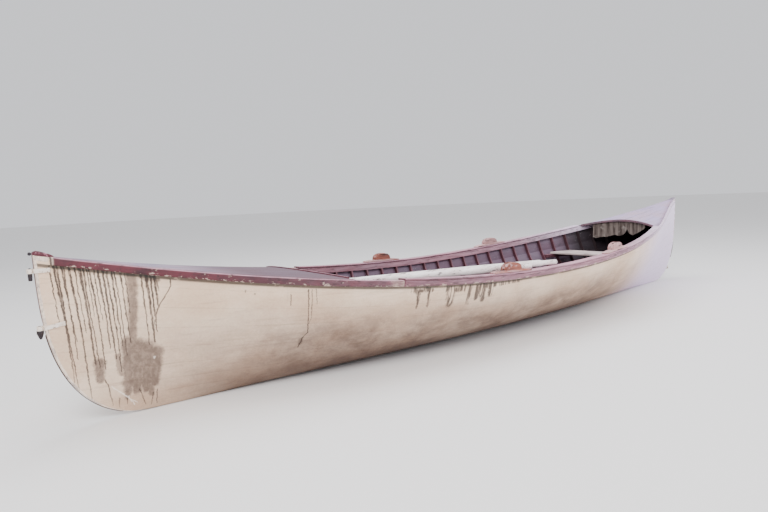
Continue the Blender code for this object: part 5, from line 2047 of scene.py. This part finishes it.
@dataclass(frozen=True)
class Studio:
    """Floor, soft light and the camera at the main view's angle."""

    eye: Triple = (-2.9309, -2.6017, 0.8427)
    yaw: float = 39.609
    pitch: float = 5.795
    roll: float = -2.671
    lens: float = 29.92
    floor: float = 30.0
    # name, place, size, power, colour
    lamps: tuple[tuple, ...] = (
        ("key", (-4.2, -3.6, 4.6), 3.6, 330.0, (1.0, 0.975, 0.95)),
        ("top", (0.4, 0.8, 5.2), 5.0, 260.0, (0.96, 0.97, 1.0)),
        ("fill", (3.6, -5.0, 2.6), 4.0, 210.0, (0.93, 0.92, 1.0)),
    )

    def camera(self) -> None:
        """Set the camera in its place."""
        yaw, pitch, roll = (math.radians(a) for a in (self.yaw, self.pitch, self.roll))
        level = math.cos(pitch)
        ahead = Vector((math.sin(yaw) * level, math.cos(yaw) * level, -math.sin(pitch)))
        right = Vector((math.cos(yaw), -math.sin(yaw), 0))
        up = right.cross(ahead)
        right, up = (math.cos(roll) * right + math.sin(roll) * up,
                     -math.sin(roll) * right + math.cos(roll) * up)
        data = bpy.data.cameras.new("camera")
        data.lens = self.lens
        data.sensor_width = 36.0
        camera = bpy.data.objects.new("camera", data)
        bpy.context.scene.collection.objects.link(camera)
        turn = Matrix((right, up, -ahead)).transposed()
        camera.matrix_world = Matrix.Translation(Vector(self.eye)) @ turn.to_4x4()
        bpy.context.scene.camera = camera

    def lights(self) -> None:
        """Hang the soft lamps and set the sky."""
        for name, place, size, power, colour in self.lamps:
            data = bpy.data.lights.new(name, "AREA")
            data.shape = "DISK"
            data.size = size
            data.energy = power
            data.color = colour
            lamp = bpy.data.objects.new(name, data)
            bpy.context.scene.collection.objects.link(lamp)
            lamp.location = place
            aim = Vector((0, 0, 0.3)) - Vector(place)
            lamp.rotation_mode = "QUATERNION"
            lamp.rotation_quaternion = aim.to_track_quat("-Z", "Y")
        world = bpy.data.worlds.new("sky")
        world.use_nodes = True
        sky = world.node_tree.nodes["Background"]
        sky.inputs["Color"].default_value = (0.95, 0.96, 1.0, 1.0)
        sky.inputs["Strength"].default_value = 1.0
        bpy.context.scene.world = world

    def ground(self) -> None:
        """Lay the pale floor."""
        bpy.ops.object.select_all(action="DESELECT")
        bpy.ops.mesh.primitive_circle_add(vertices=64, radius=self.floor, fill_type="NGON",
                                          location=(0, 0, -0.0005))
        floor = bpy.context.active_object
        floor.name = "floor"
        floor.data.materials.append(PaleFloor().material())

    def build(self) -> None:
        """Set the whole stage."""
        self.camera()
        self.lights()
        self.ground()


def main() -> None:
    """Build the boat, a sub-assembly at a time."""
    logging.basicConfig(level=logging.INFO, format="%(name)s: %(message)s")
    studio = Studio()
    studio.build()
    palette = Palette.mixed()
    HullSkin().build(palette)
    Stems().build(palette)
    Ribs().build(palette)
    Rails().build(palette)
    stern = Deck(End.STERN, 1.27, 1.40, 0.026)
    bow = Deck(End.BOW, 1.50, 1.61, 0.030, coaming_deep=0.014)
    stern.build(palette)
    bow.build(palette)
    TornApron(bow).build(palette)
    Seat("bow_seat", 1.165, 0.180, 0.320, 0.0016, 2).build(palette.seat, Slot.SEAT)
    Seat("middle_seat", 0.12, 0.230, 0.245, 0.0007, 2).build(palette.ribs, Slot.INNER)
    Seat("stern_seat", -1.16, 0.300, 0.235, 0.0014, 3).build(palette.ribs, Slot.INNER)
    for seat in ("bow_seat", "middle_seat", "stern_seat"):
        for side in Side:
            repaint(f"{seat}_cleat_{side.name.lower()}", palette.ribs)
    sleeves = []
    for station, x in (("aft", -0.37), ("forward", 0.65)):
        for side in Side:
            block = LockBlock(station, x, side, seed=7.0 * x + 3.0 * side.value)
            sleeves.append(block.build(palette))
    dress(joined("oarlock_sleeves", sleeves), palette.iron, Slot.IRON)
    Oar("oar_inboard", 0.040, -0.504, 0.0006, -0.035, 0.450).build(palette)
    Oar("oar_outboard", -0.180, -0.500, -0.0005, -0.031, 0.452).build(palette)
    Gudgeon("upper", 0.612, 0.0, 0.050, UPPER_STUB).build(palette)
    Gudgeon("lower", 0.398, 0.010, 0.070, LOWER_STUB).build(palette)
    RingBolt().build(palette)
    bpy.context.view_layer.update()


if __name__ == "__main__":
    main()
